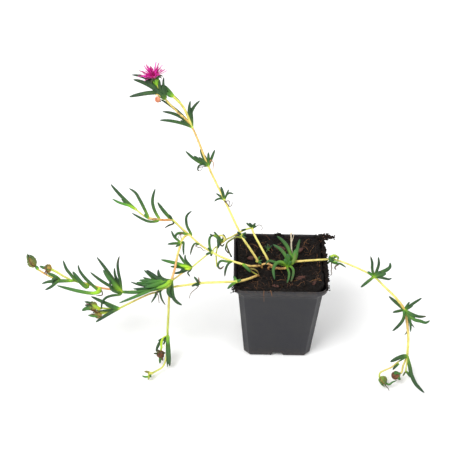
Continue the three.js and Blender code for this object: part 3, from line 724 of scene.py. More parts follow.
def soilTop(x, y):
    # The plain height with crumbs of three sizes, banked up towards the front, back and right of the rim
    bank = soil["bank"] * np.clip((-y - 24) / 16, 0, 1) + soil["backBank"] * np.clip((y - 8) / 26, 0, 1)
    bank = np.maximum(bank, soil["rightBank"] * np.clip((x - 18) / 18, 0, 1))
    crumble = 2.4 * lumpy(x, y, 4.2, 1) + 1.5 * lumpy(x, y, 1.9, 2) + 0.9 * lumpy(x, y, 0.9, 3) - 2.4
    return soilHeight(x, y) + bank + crumble


def evenly(outline, count):
    # Points at equal distances round a closed outline
    closed = np.concatenate([outline, outline[:1]])
    edge = distances(closed)
    at = np.linspace(0, edge[-1], count, endpoint=False)
    return np.stack([np.interp(at, edge, closed[:, axis]) for axis in (0, 1)], axis=-1)


def innerHalf(z):
    flare = (z - bodyTop) / pot["shoulder"] * (pot["shoulderHalf"] - pot["topHalf"])
    return bodyHalf(min(z, bodyTop)) + max(flare, 0.0) - pot["wall"] - soil["gap"]


def makePeatBed():
    rings = []
    for z in (soil["bottom"], 30.0, 60.0, bodyTop, 84.0):
        outline = evenly(potRing(innerHalf(z), pot["bodyCorner"], 0.0), soil["around"])
        rings.append(np.concatenate([outline, np.full((soil["around"], 1), z)], axis=1))
    brim = evenly(potRing(innerHalf(soil["brim"]), pot["bodyCorner"] + 1, 0.5), soil["around"])
    for share in np.linspace(1, 0.012, soil["rings"]):
        x, y = brim[:, 0] * share, brim[:, 1] * share
        rings.append(np.stack([x, y, soilTop(x, y)], axis=-1))
    rings = np.stack(rings)
    seeds = 0.5 * lumpy(rings[..., 0], rings[..., 1], 3.1, 7) ** 3
    return shell(rings, seed=0.0) | {"seed": np.concatenate([seeds.ravel(), [0.0, 0.0]])}


def pebbleShape():
    # A ball of 18 points and 32 faces: an octahedron with its edges halved
    poles = np.array([[1, 0, 0], [-1, 0, 0], [0, 1, 0], [0, -1, 0], [0, 0, 1], [0, 0, -1]], float)
    corners = [(0, 2, 4), (2, 1, 4), (1, 3, 4), (3, 0, 4), (2, 0, 5), (1, 2, 5), (3, 1, 5), (0, 3, 5)]
    points = list(poles)
    halves = {}
    faces = []
    for a, b, c in corners:
        middle = []
        for pair in ((a, b), (b, c), (c, a)):
            key = tuple(sorted(pair))
            if key not in halves:
                halves[key] = len(points)
                points.append(unit(poles[key[0]] + poles[key[1]]))
            middle.append(halves[key])
        ab, bc, ca = middle
        faces += [(a, ab, ca), (ab, b, bc), (ca, bc, c), (ab, bc, ca)]
    return np.array(points), np.array(faces)


pebble = {"dents": (0.62, 1.25), "stretch": (0.6, 1.3)}


def scatter(centres, sizes, seed, seeds):
    # Lumps, each a ball with its points moved in and out, stretched and turned at random
    rng = np.random.default_rng(seed)
    ball, faces = pebbleShape()
    count = len(centres)
    swollen = ball[None] * rng.uniform(*pebble["dents"], (count, len(ball), 1))
    swollen = swollen * rng.uniform(*pebble["stretch"], (count, 1, 3))
    turns = np.linalg.qr(rng.normal(size=(count, 3, 3)))[0]
    turns *= np.linalg.det(turns)[:, None, None]
    points = centres[:, None] + np.einsum("nij,nkj->nki", turns, swollen) * sizes[:, None, None]
    points = points.reshape(-1, 3)
    triangles = (faces[None] + (np.arange(count) * len(ball))[:, None, None]).reshape(-1, 3)
    made = {"points": points, "quads": np.zeros((0, 4), int), "triangles": triangles, "finish": 0}
    made |= {name: np.zeros(len(points)) for name in floatMarks}
    return made | {"seed": np.repeat(seeds, len(ball)), "lie": points * 0.3}


def makeCrumbs():
    rng = np.random.default_rng(soil["seed"])
    reach = innerHalf(soil["brim"]) - soil["crumbMargin"]
    x, y = rng.uniform(-reach, reach, (2, soil["crumbs"]))
    smallest, growth = soil["crumbSizes"]
    sizes = smallest + growth * rng.random(soil["crumbs"]) ** 3
    z = soilTop(x, y) + 0.25 * sizes
    seeds = rng.random(soil["crumbs"]) ** 2
    return [scatter(np.stack([x, y, z], axis=-1), sizes, soil["shapeSeed"], seeds), makeSpill()]


spillDraw = {"seed": 31, "shapeSeed": 40, "spread": 0.5, "reachLimit": 1.1}
spill = {
    # Crumbs that lie on the rim: the middle of each heap, how many, how far they reach each way, and their size
    "leftFront": {"at": (-42.0, -41.0, 92.6), "count": 90, "reach": (5.0, 5.0, 1.6), "size": 1.1},
    "rightBack": {"at": (46.5, 41.0, 92.6), "count": 190, "reach": (9.5, 3.2, 2.2), "size": 1.25},
    "rightEdge": {"at": (44.2, 0.0, 93.6), "count": 330, "reach": (1.8, 38.0, 2.2), "size": 1.3},
    "backBump": {"at": (0.0, 43.0, 93.0), "count": 60, "reach": (4.4, 1.2, 2.4), "size": 1.0},
    "frontLip": {"at": (0.0, -43.2, 92.6), "count": 110, "reach": (34.0, 1.6, 0.8), "size": 0.7},
    "rightLip": {"at": (43.4, 0.0, 92.6), "count": 50, "reach": (1.2, 30.0, 0.6), "size": 0.7},
}


def makeSpill():
    rng = np.random.default_rng(spillDraw["seed"])
    limit = spillDraw["reachLimit"]
    heaps = []
    for heap in spill.values():
        count = heap["count"]
        offsets = np.clip(rng.normal(size=(count, 3)) * spillDraw["spread"], -limit, limit)
        offsets[:, 2] = np.abs(offsets[:, 2]) * (1 - np.clip(np.abs(offsets[:, 0]), 0, 0.9))
        centres = np.array(heap["at"]) + offsets * np.array(heap["reach"])
        sizes = heap["size"] * rng.uniform(0.35, 1.0, count)
        heaps.append(scatter(centres, sizes, spillDraw["shapeSeed"] + count, rng.random(count) ** 2))
    return heaps


addPiece("peatBed", [makePeatBed()], [peat], ["soil"])
addPiece("peatCrumbs", makeCrumbs(), [peat], [], smooth=False)


# Fibres and roots in the peat, and over the rim

fibres = {
    "count": 140,
    "seed": 21,
    "thick": (0.09, 0.24),
    "long": (5.0, 17.0),
    "steps": 8,
    "margin": 2.5,
    "wander": 0.22,  # how far it turns at each step, in radians
    "arch": 1.6,
}


def makeFibres():
    rng = np.random.default_rng(fibres["seed"])
    reach = innerHalf(soil["brim"]) - fibres["margin"]
    made = []
    for _ in range(fibres["count"]):
        start = rng.uniform(-reach, reach, 2)
        heading = rng.uniform(0, 2 * np.pi)
        bends = heading + np.cumsum(rng.normal(0, fibres["wander"], fibres["steps"]))
        step = rng.uniform(*fibres["long"]) / fibres["steps"]
        track = start + np.cumsum(np.stack([np.cos(bends), np.sin(bends)], axis=-1) * step, axis=0)
        track = np.clip(track, -reach, reach)
        arch = np.sin(np.linspace(0, np.pi, len(track))) * rng.uniform(0.0, fibres["arch"])
        z = soilTop(track[:, 0], track[:, 1]) + 0.1 + arch
        line, shares = curveThrough(np.column_stack([track, z]), 1.2)
        radii = rng.uniform(*fibres["thick"]) * (1 - 0.5 * shares)
        made.append(tube(line, radii, 4, reference=zAxis, seed=0.8 * rng.random() ** 1.4))
    return made


rimRoots = [
    # Path in millimetres, radius, and how golden: roots that lie over the rim and the soil
    ([(-16, -41, 90), (-16.2, -44.2, 93.6), (-16.4, -45.6, 91), (-16.0, -44.9, 86), (-15.6, -42.4, 79)], 0.5, 0.45),
    ([(-11, -40, 90), (-9.8, -44, 93.7), (-9.0, -45.7, 91.4), (-8.3, -44.6, 87.4)], 0.55, 0.5),
    ([(-3, 38, 86), (-8, 37, 90), (-12, 40, 93.4), (-17, 43.5, 94.2)], 0.3, 0.35),
    ([(-5, 20, 86), (-9, 28, 90.5), (-14, 35, 89), (-19, 40, 86)], 0.3, 0.5),
    ([(40, 38, 90), (44, 40, 94), (49, 41, 94.5), (53, 40, 92.5)], 0.35, 0.4),
    ([(38, 41, 91), (44, 43, 95), (48, 44.5, 95.5), (52, 43.5, 95)], 0.3, 0.2),
    ([(41, 36, 90), (45, 37.5, 93.6), (48.5, 38.2, 93.2), (51, 37, 90)], 0.3, 0.3),
    ([(40, 19, 88), (43.5, 20.5, 93.6), (46.2, 22, 94.2)], 0.35, 0.15),
    ([(42, -12, 88), (36, -22, 89.8), (31, -30, 90.6), (28, -36, 91.6)], 0.3, 0.55),
    ([(13, 41, 88), (12.5, 43.5, 93.6), (14, 44.3, 96)], 0.25, 0.9),
]


def makeRoots():
    made = []
    for path, radius, golden in rimRoots:
        line, shares = curveThrough(path, 1.0)
        made.append(tube(line, radius * (1 - 0.6 * shares), 6, reference=right, seed=golden))
    return made


addPiece("soilFibres", makeFibres() + makeRoots(), [fibre], [])


# Bark chips

chipSeed = 60
chips = [
    {"at": (-27, 12), "size": (9, 5, 2), "turn": 0.4},
    {"at": (1, 27), "size": (12, 6, 2.4), "turn": -0.5},
    {"at": (20, 23), "size": (10, 5, 2), "turn": 0.7},
    {"at": (20, -18), "size": (11, 5, 2), "turn": 0.2},
    {"at": (-5, -33), "size": (7, 4, 1.8), "turn": -0.3},
    {"at": (32, -30), "size": (6, 4, 1.8), "turn": 1.1},
]


def makeChip(index, chip):
    # A splinter: a rounded oblong section, narrower and ragged towards both ends
    rng = np.random.default_rng(chipSeed + index)
    x, y = chip["at"]
    length, width, height = chip["size"]
    turn = chip["turn"]
    middle = np.array([x, y, max(soilHeight(x, y) + 0.6, soilTop(np.array(x), np.array(y)) + 0.3)])
    along = unit(np.array([math.cos(turn), math.sin(turn), 0.12 * math.sin(x)]))
    across = unit(np.array([-math.sin(turn), math.cos(turn), 0.1 * math.cos(y)]))
    rise = np.cross(along, across)
    shares = np.linspace(-1, 1, 15)
    girth = np.interp(shares, [-1, -0.4, 0.45, 1], [0.45, 1, 0.85, 0.3]) * rng.uniform(0.88, 1.1, 15)
    angle = anglesOf(16)
    oblong = (np.abs(np.cos(angle)) ** 4 + np.abs(np.sin(angle)) ** 4) ** -0.25
    ragged = rng.uniform(0.9, 1.08, (15, 16)) * oblong
    ridges = 1 + 0.12 * np.sin(angle * 5 + index)
    halfWidth = (width / 2 * girth)[:, None] * ragged * np.cos(angle)
    halfHeight = (height / 2 * (0.6 + 0.4 * girth))[:, None] * ragged * ridges * np.sin(angle)
    centres = middle + (shares * length / 2)[:, None] * along
    return shell(ringsAround(centres, halfWidth, halfHeight, across, rise), seed=0.1 * index)


addPiece(
    "barkChips", [makeChip(i, chip) for i, chip in enumerate(chips)], [bark],
    [f"bark_chip_{i + 1}" for i in range(len(chips))], smooth=False,
)
print("pot and peat ready")


# Leaves, stems and buds

plant = {
    "leafWidth": 3.2,
    "leafSides": 12,
    "leafRings": 16,
    "leafFlatness": 0.88,
    "groove": 0.12,
    "keel": 0.09,
    "stemSides": 12,
    "stemStep": 1.6,
    "stemRadius": 1.2,
    "clearance": 0.3,
    "tip": 0.996,  # the share of a leaf's length at which its last ring lies
    "sway": 0.025,
    "seed": 5,
}
leafIndex, stemIndex, huskIndex, oliveIndex = 0, 1, 2, 3
leafDraw = np.random.default_rng(plant["seed"])


def beside(base, offsets):
    # The place that lies right, up and near of another by the offsets
    return np.asarray(base, float) + fromFront(offsets)


def fromBase(base, points):
    return np.array([beside(base, offsets) for offsets in points])


def fleshyBody(centres, t, width, tone, dry, warm=0.0, ripe=1.0):
    # Radius: (0.8 + 0.75t)·√(1 − t to the power 1.8) of half the width, on a softly three-sided section with a groove
    radii = width / 2 * (0.8 + 0.75 * t) * np.sqrt(1 - t ** 1.8)
    side, other = frames(centres, near)
    angle = anglesOf(plant["leafSides"])
    keeled = 1 + plant["keel"] * np.cos(3 * (angle - leafDraw.uniform(-1, 1)))
    section = keeled * (1 - plant["groove"] * np.clip(-np.sin(angle), 0, 1) ** 6)
    around = radii[:, None] * section
    high = around * plant["leafFlatness"] * np.sin(angle)
    rings = ringsAround(centres, around * np.cos(angle), high, side[:, None], other[:, None])
    dried = spread(dry, t) if isinstance(dry, tuple) else dry
    return shell(rings, leafIndex, along=ripe * t, tone=tone, warm=warm, seed=leafDraw.random(), dry=dried)


def leaf(base, r, u, n, width=plant["leafWidth"], bow=0.0, tone=0.25, dry=0.0):
    # Centre: base + t·span + 4t(1 − t)·bow across it, where the span goes right, up and near
    span = fromFront((r, u, n))
    t = np.sin(np.linspace(0, np.pi / 2, plant["leafRings"])) ** 1.15
    t[-1] = plant["tip"]
    sway = leafDraw.normal(0, plant["sway"], 2) * np.linalg.norm(span)
    across = fromFront((-u, r, 0))
    centres = np.asarray(base, float) + t[:, None] * span + (4 * t * (1 - t) * bow)[:, None] * across
    centres = centres + np.sin(np.pi * t)[:, None] * (sway[0] * near + sway[1] * 0.5 * unit(across))
    return fleshyBody(centres, t, width, tone, dry)


def whorl(base, leaves, tone=0.25, collar=1.5, dry=0.0):
    # Each leaf: right, up, near, and where they differ from a plain leaf its width and its bow
    return [leaf(base, *offsets, tone=tone, dry=dry) for offsets in leaves] + [makeCollar(base, collar)]


def bentLeaf(base, points, width, tone=0.25, dry=0.0, warm=0.0, ripe=1.0):
    # The same body along a smooth curve through offsets from the base, coloured as the first share of a whole leaf
    line, _ = curveThrough(fromBase(base, [(0, 0, 0), *points]), 1.2)
    far = distances(line)
    return fleshyBody(line, plant["tip"] * far / far[-1], width, tone, dry, warm, ripe)


def bentLeaves(base, leaves):
    # Each leaf: its points and its width, then tone, dry, warm and ripe as far as they are given
    return [bentLeaf(base, *one) for one in leaves]


def makeCollar(base, radius):
    # Swelling of the stem where leaves grow
    shares = np.linspace(-0.92, 0.92, 7)
    centres = np.asarray(base, float) + (shares * radius)[:, None] * up
    return tube(centres, radius * np.sqrt(1 - shares ** 2), 10, finish=stemIndex, tone=0.75, seed=leafDraw.random())


def stem(path, startRadius, endRadius, warm=(0,), tone=(0,), dry=(0,), finish=stemIndex, waist=()):
    line, shares = curveThrough(path, plant["stemStep"])
    radii = spread((startRadius, *waist, endRadius), shares)
    radii = radii * (1 + 0.05 * np.sin(np.arange(len(line)) * 1.7 + leafDraw.random() * 6))
    return tube(
        line, radii, plant["stemSides"], finish=finish, along=0.3 + 0.7 * shares, seed=leafDraw.random(),
        warm=spread(warm, shares), tone=spread(tone, shares), dry=spread(dry, shares),
    )


def curl(base, points, radius=0.45, dry=1.0, warm=0.0, finish=leafIndex):
    # Dried thread along a curve through offsets from its base
    line, shares = curveThrough(fromBase(base, [(0, 0, 0), *points]), 0.8)
    radii = radius * (1 - 0.45 * shares)
    return tube(line, radii, 7, finish=finish, along=0.7, dry=dry, warm=warm, seed=leafDraw.random())


def aroundWay(along):
    # Two directions across a bud's axis
    side = unit(np.cross(along, near + 0.013 * right))
    return side, np.cross(along, side)


def bud(start, direction, radius, tone=0.5, sepals=5, reach=1.0, flare=0.4, tuft=0.0, turn=0.0, dry=0.1, warm=0.0):
    # Ribbed cup, fleshy sepals that hug it and end in free points, and a tuft of withered petals between them
    span = fromFront(direction)
    length = np.linalg.norm(span)
    along = span / length
    side, other = aroundWay(along)
    start = np.asarray(start, float)
    shares = np.linspace(0, 0.98, 13)
    girths = np.interp(shares, [0, 0.18, 0.42, 0.62, 0.8, 1], [0.34, 0.8, 1, 0.94, 0.62, 0.1]) * radius
    angle = anglesOf(20)
    around = girths[:, None] * (1 + 0.08 * np.cos(5 * (angle - turn)) + 0.03 * np.cos(11 * angle))
    centres = start + (shares * length * 0.8)[:, None] * along
    rings = ringsAround(centres, around * np.cos(angle), around * np.sin(angle), side, other)
    made = [shell(rings, oliveIndex, along=shares, tone=tone, seed=leafDraw.random(), dry=dry)]
    t = np.linspace(0, 0.995, 13)
    for k in range(sepals):
        way = turn + 2 * math.pi * k / sepals
        outward = side * math.cos(way) + other * math.sin(way)
        far = length * reach * (1 + 0.16 * math.sin(k * 2.3 + turn))
        out = radius * np.interp(t, [0, 0.25, 0.55, 0.8, 1], [0.3, 0.9, 1.02, 0.8 + 0.3 * flare, 0.45 + flare])
        line = start + (far * t)[:, None] * along + out[:, None] * outward
        girth = radius * 0.34 * np.interp(t, [0, 0.3, 0.6, 0.85, 1], [0.5, 1.1, 1, 0.6, 0.12])
        made.append(tube(
            line, girth, 10, 0.75, along + 0.01 * near, finish=leafIndex, along=0.25 + 0.7 * t, tone=tone,
            seed=leafDraw.random(), dry=dry + 0.25 * t ** 3, warm=warm * (1 - t),
        ))
    for k in range(round(9 * tuft)):
        way = k * goldenAngle
        lean = 0.12 + 0.09 * (k % 4)
        out = unit(along + lean * (side * math.cos(way) + other * math.sin(way)))
        line = start + 0.55 * length * along + np.linspace(0, length * (0.62 + 0.05 * (k % 3)), 6)[:, None] * out
        radii = [0.5, 0.6, 0.5, 0.4, 0.28, 0.1]
        made.append(tube(line, radii, 6, finish=huskIndex, along=0.5, seed=leafDraw.random()))
    return made


# Bloom

bloom = {
    "centre": np.array([-123.0, 85.0, 246.5]),
    "petals": 46,
    "length": 10.4,
    "width": 1.45,
    "thickness": 0.55,
    "leans": (72, 58, 44, 30),
    # Petals that reach out of the tuft: right, up, near, then how far they curl over at the tip
    "strays": [
        (1.6, 14.8, 1, 0.4), (3.6, 14.6, -1, -0.4), (7.0, 12.4, 1, -0.8), (0.2, 9.6, 4, 0.4), (5.2, 7.5, 4, -2.2),
        (12.2, 6.4, -2, 0.8), (-11.4, 9.6, 3, 2.0), (-9.6, 10.6, 0, 2.6), (-7.6, 9.2, 4, 2.2), (-4.0, 10.4, 2, 0.8),
        (-5.0, 8.2, -3, 2.4), (-15.8, -0.4, 3, 1.2), (-14.8, 1.2, 0, 1.6), (-11.5, -1.2, 6, 1.4),
        (-10.4, 0.6, 7, 1.8), (-12.2, 4.6, 2, 1.4), (-9.8, 6.4, 5, 2.2), (-14.8, 6.2, -2, 0.6), (-8.6, 3.6, 7, 1.8),
        (3.6, 4.8, 5, -1.0), (-2.4, 7.6, 6, 0.8), (-10.6, 8.6, 5, 1.6), (-9.2, 4.6, 6, 1.2), (-8.4, 1.6, 8, 1.6),
        (-6.6, 6.4, 7, 1.4), (-11.2, 2.6, 5, 1.2), (-10.6, -0.8, 7, 0.6), (-7.4, 9.4, 3, 1.8), (-5.6, 2.2, 9, 0.8),
        (4.6, 2.6, 6, -0.8), (3.2, 7.4, 5, -0.6), (-6.8, -1.6, 9, 0.8), (-12.0, 0.2, 9, 0.2), (-10.2, -0.6, 10, 0.2),
        (-8.2, -1.4, 10, 0.2), (-9.2, 0.4, 10, 0.2), (-6.0, -0.4, 10, 0.2), (-7.6, 0.8, 10, 0.4),
    ],
    "strayWidth": 1.4,
    "paintedHighlightFrom": 31,  # the first of the petals that get the painted highlight in full
    "stamens": 26,
    "sepalTurns": 1.26,
}
bloomAxis = unit(fromFront((-0.4, 1, 0.35)))
bloomSide = unit(np.cross(bloomAxis, near))
bloomOther = np.cross(bloomAxis, bloomSide)


def bloomWay(angle, lean):
    return (bloomSide * math.cos(angle) * math.sin(lean) + bloomOther * math.sin(angle) * math.sin(lean)
            + bloomAxis * math.cos(lean))


def ribbon(root, out, length, arch, fold, swing, width, seed):
    # Narrow petal with a grooved face: root + t·length along out, lifted by arch·4t(1 − t) and fold·t³
    across = unit(np.cross(out, bloomAxis + 0.02 * near))
    over = np.cross(across, out)
    t = np.linspace(0, 1, 13)[:, None]
    rise = 4 * arch * t * (1 - t) + fold * t ** 3
    centres = root + out * length * t + over * rise + across * swing * t ** 2
    halfWidth = width / 2 * np.interp(t[:, 0], [0, 0.25, 0.6, 0.88, 1], [0.4, 0.8, 1, 0.95, 0.5])
    angle = anglesOf(10)
    groove = 0.55 * (1 - np.abs(np.cos(angle))) * (np.sin(angle) > 0)
    high = bloom["thickness"] / 2 * (np.sin(angle) - groove)
    rings = ringsAround(centres, -halfWidth[:, None] * np.cos(angle), high, across, over)
    return shell(rings, along=t[:, 0], seed=seed)


def petal(k):
    layer = k % len(bloom["leans"])
    angle = k * goldenAngle
    lean = math.radians(bloom["leans"][layer] + 7 * math.sin(k * 2.7))
    length = bloom["length"] * (1 - 0.05 * layer + 0.1 * math.sin(k * 4.1))
    root = bloom["centre"] + 1.6 * bloomWay(angle, math.pi / 2)
    fold, swing = 0.9 * math.sin(k * 1.9), 0.8 * math.sin(k * 3.3)
    return ribbon(
        root, bloomWay(angle, lean), length, 0.6, fold, swing, bloom["width"], 0.5 + 0.5 * math.sin(k * 5.3),
    )


def strayPetal(k, r, u, n, fold):
    span = fromFront((r, u, n))
    length = 0.9 * np.linalg.norm(span)
    width = bloom["strayWidth"] * bloom["width"]
    # Stray petals from the one the bloom table names on get seed 1.0, which gives them the painted highlight in full
    seed = 1.0 if k >= bloom["paintedHighlightFrom"] else 0.5 + 0.5 * math.cos(k * 2.4)
    return ribbon(
        bloom["centre"] + 0.1 * span, unit(span), length, 0.5, fold, 0.5 * math.sin(k * 2.1), width, seed,
    )


def makePetals():
    shares = np.linspace(-1.2, 1.2, 5)
    centres = bloom["centre"] + shares[:, None] * bloomAxis
    disc = tube(centres, [2.0, 2.4, 2.5, 2.3, 1.6], 16, along=0.12)
    tufted = [petal(k) for k in range(bloom["petals"])]
    return [disc] + tufted + [strayPetal(k, *stray) for k, stray in enumerate(bloom["strays"])]


def makeStamens():
    # Threads that lean out of a short tuft, each with a thicker end
    foot = bloom["centre"] + 1.5 * bloomAxis
    tuftLine = foot + np.linspace(0, 1.7, 5)[:, None] * bloomAxis
    made = [tube(tuftLine, [1.0, 1.0, 0.95, 0.8, 0.4], 12, along=0.3)]
    for k in range(bloom["stamens"]):
        out = bloomWay(k * goldenAngle, math.radians(4 + 11 * (k % 4)))
        reach = np.linspace(0.6, 3.4 + 0.9 * (k % 3), 8)[:, None]
        line = foot + out * reach + bloomSide * 0.25 * np.sin(reach + k)
        radii = np.interp(np.linspace(0, 1, 8), [0, 0.78, 0.85, 0.95, 1], [0.16, 0.13, 0.3, 0.3, 0.1])
        made.append(tube(line, radii, 6, along=np.linspace(0, 1, 8)))
    return made


def calyx():
    # Long green cone under the petals, with five fleshy sepals that arch over at their points
    levels = np.array([-13.0, -10.5, -8.0, -6.0, -4.2, -2.8, -1.8, -1.5])
    centres = bloom["centre"] + levels[:, None] * bloomAxis
    radii = [1.0, 1.6, 2.2, 2.8, 3.2, 3.4, 3.3, 3.0]
    made = [tube(centres + 0.2 * right, radii, 18, finish=leafIndex, along=np.linspace(0.06, 0.4, 8), tone=0.8)]
    for k in range(5):
        angle = k * bloom["sepalTurns"] + 0.4
        stretch = 1 + 0.25 * math.sin(k * 2.2)
        path = [centres[4] + 2.1 * bloomWay(angle, math.pi / 2)]
        for lean, length in ((20, 2.6), (62, 2.4), (105, 2.2), (140, 1.9)):
            path.append(path[-1] + bloomWay(angle, math.radians(lean)) * length * stretch)
        line, shares = curveThrough(path, 0.7)
        girth = np.interp(shares, [0, 0.3, 0.7, 1], [0.9, 1.1, 0.8, 0.15])
        made.append(tube(
            line, girth, 9, finish=leafIndex, along=0.35 + 0.6 * shares, tone=0.1, dry=0.35 * shares, seed=0.2 * k,
        ))
    return made


# Tall flower stem, leaning up, back and to the left

tallPath = [
    (-21, 6, 80), (-21, 6, 88), (-29, 11, 100), (-38, 16, 113), (-55, 34, 142), (-71, 50, 170),
    (-87, 67, 203), (-101, 73, 216), (-113, 76, 229), (-119, 80, 238), (-121, 83, 242.5),
]
tallForkPath = [tallPath[6], (-95, 74, 220), (-105, 80, 229)]
dryShootPath = [(-36, 15, 110), (-42, 14, 112), (-47, 13, 110), (-52, 12, 105), (-50, 10, 98), (-47, 8, 92)]


def makeTallShoot():
    fork = tallForkPath[2]
    crest = tallPath[8]
    return [
        stem(
            tallPath, plant["stemRadius"], 0.9, warm=(0.5, 0.35, 0.1, 0, 0, 0.3, 0.6, 0.45, 0.3, 0.1, 0.1),
            tone=(0, 0, 0, 0, 0, 0, 0, 0.1, 0.3, 0.6, 0.9), dry=(0.2, 0.12, 0, 0, 0, 0, 0.1, 0.2, 0.1, 0, 0),
        ),
        stem(tallForkPath, 1.1, 1.3, warm=(0.2, 0.2, 0.1), tone=(0.4, 0.2, 0.6)),
        stem(
            dryShootPath, 0.9, 0.8, tone=(1, 1, 0.8, 0.3, 0.0), dry=(0.1, 0.15, 0.1), warm=(0.3, 0.2, 0),
            finish=leafIndex,
        ),
        stem(
            [(-52, 12, 105), (-53, 11, 99), (-50, 10, 95)], 0.75, 0.6, tone=(0.1,), dry=(0.1, 0.3), finish=leafIndex,
        ),
        whorl((-22, 7, 88), [(3, 5, 2, 1.8), (-2, 5, 3, 1.6), (5, 1, 3, 1.8), (4.5, -2.5, 5, 2.2)], 0.4),
        whorl(tallPath[3], [(-4, 3, 4, 2.4), (5, 2.5, -2, 2.2), (5, -3, 2, 2.2)], 0.1),
        whorl(tallPath[4], [
            (-8, 6, -3, 2.2), (-9.5, -2, 3, 2, -0.2), (-3.5, 12.5, 4, 3), (-4, 9, -5, 2.4), (4, 10, -4, 2),
        ], 0.1),
        bentLeaf(tallPath[4], [(2, 4.5, 1), (5, 6.5, 2), (9, 5.5, 3)], 2.0, 0.1),
        curl(tallPath[4], [(1, -2.5, 2), (2, -1.5, 3), (5, -1.5, 3), (4.5, -6, 3)], 0.6, 0.5),
        curl(tallPath[4], [(3, -4, 1), (5, -6.5, 2), (7, -5.5, 2), (8, -2.5, 2)], 0.5, 0.6),
        whorl(tallPath[5], [
            (-22, 14, 2, 3, 0.05), (-14, 10, -5, 3), (-9, 8, 6, 3.2), (-8, 16, 2, 2.8, 0.05), (-4, 11, -5, 3),
            (0, 13, 5, 2.8), (6, 16, -2, 2.8),
        ], 0.25),
        bentLeaf(tallPath[5], [(-2, 1, 2), (-5, 1.5, 3), (-9, 0, 3), (-10, -4, 2), (-8, -5, 2)], 1.9, 0.0),
        curl(tallPath[5], [(-10, -2, 2), (-8, -5, 2), (-5, -1, 1)], 0.4, 0.9),
        curl(tallPath[5], [(2, 5.5, 2), (4.5, 4, 3), (5, 1, 2), (4.5, -3.5, 2)], 0.55, 0.25, 1.0, stemIndex),
        whorl(tallPath[6], [
            (-31, 6, 2, 3.2, -0.06), (-29, 15, -5, 3.2, -0.11), (-11, 6, 5), (-31.5, 27, -7, 2.8, -0.06),
            (-2, 25, 3, 3.2, 0.09), (7, 26, -3, 3.2, 0.17), (-2, 20, -8),
        ], 0.1),
        bentLeaf(tallForkPath[1], [(1.2, -2, -1), (-3.2, 4.8, -2), (-9.5, 12.2, -2)], 1.8, 0.0),
        whorl(fork, [(-9.5, 10.5, 2, 4.0), (-5, 7, -3, 3)], 0.4, 1.3),
        whorl(fork, [(-9, 3.5, 4, 3.4), (-6, 1, 1, 2.8)], 0.8, 1.2),
        whorl(crest, [
            (-30, 17, 4, 4.2, -0.12), (-32.5, 23, -8, 3.4, -0.15), (-9, 9, 5, 4.4), (-14.5, 15, 1, 5, 0.04),
            (-12, 14, -2, 4.6), (-13, 18, -4, 4.4), (-5, 17, 5, 3.2, 0.1), (-7, 4, 5, 3.4), (-19, 18.5, 2, 5.4),
            (-15.5, 20.5, -1, 4.8), (-3, 13, 2, 4.6),
        ], 0.02, 1.3),
        bentLeaves(crest, [
            ([(-4, 5, 0), (-14, 4.8, 2), (-24, 3.2, 1), (-33.8, 1, 0)], 4.1, 0.05),
            ([(-2, 1.5, 3), (-7, 6, 3), (-12, 12.5, 0)], 4.4, 0.0),
            ([(0.5, 7, 1), (-1.5, 13, 3), (-1.3, 19.8, 3)], 2.6, 0.0),
        ]),
        curl(crest, [(-4, 1.5, 4), (-7, 3, 6), (-8.2, 2.6, 6.6), (-8, 1.6, 6.8)], 0.75, 0.0, 0.25, stemIndex),
        calyx(),
    ]


# Middle stem, upright at first, with a thin side shoot over the left rim

middlePath = [(-11, 8, 80), (-11, 8, 88), (-17, 14, 97), (-26, 25, 109), (-27, 29, 112)]
middleShootPath = [
    middlePath[-1], (-33, 28, 111), (-39, 26, 109), (-46, 23, 106), (-53, 21, 103), (-58, 19, 100),
]


def makeMiddleShoot():
    end = middleShootPath[5]
    return [
        stem(middlePath, plant["stemRadius"], 1, warm=(0.35, 0.2, 0, 0, 0)),
        stem(middleShootPath, 0.9, 0.8, tone=(0.5, 0.6, 0.4, 0.3, 0.2), dry=(0, 0.1, 0.2, 0.2, 0.1)),
        whorl(middlePath[-1], [(-6, 5, -2, 2.4), (-3, 5, 4, 2.6), (3, 5, -3, 2.4), (4, 2, 3, 2), (-2, 4, -6)], 0.1),
        curl(middlePath[-1], [(3, 1, 2), (6, 3, 2), (9, 2, 1), (9.5, -1, 1), (8, -2, 1)], 0.4, 0.6),
        whorl(middleShootPath[1], [(-5, -1, 2, 2)], 0.0, 0.9),
        whorl(middleShootPath[4], [(-1, 3, 1, 1.6)], 0.2, 1.2, 0.2),
        curl(end, [(4, 3, 2), (3.6, 5.5, 2), (1.5, 7.6, 2), (-1, 7.4, 2), (-2.6, 6, 2)], 1.25, 0.0, 0.0, stemIndex),
        bentLeaf(beside(end, (4, 3, 2)), [(-3, -1, 0), (-5.5, -3, 0)], 2.2, 1.0, 0.0, 0.35),
        bentLeaves(end, [
            ([(1, 3, 3), (-1.5, 4.5, 3), (-3, 7, 3), (-6.5, 10.5, 3)], 2.6, 0.25),
            ([(2.5, 5, 1), (2.5, 8.5, 1), (5, 6.2, 1)], 1.5, 0.0, 0.2),
            ([(0, -1.5, 2), (2, -2.6, 3), (4, 0, 3)], 1.6, 0.0, 0.2),
            ([(-1.5, 6, 1), (-2.4, 3, 1), (-2, -1, 2), (-3.2, -5.8, 2)], 3.2, 0.15),
        ]),
        makeCollar(end, 1.2),
    ]


# Long left stem at the back, with two side branches that meet in a fan

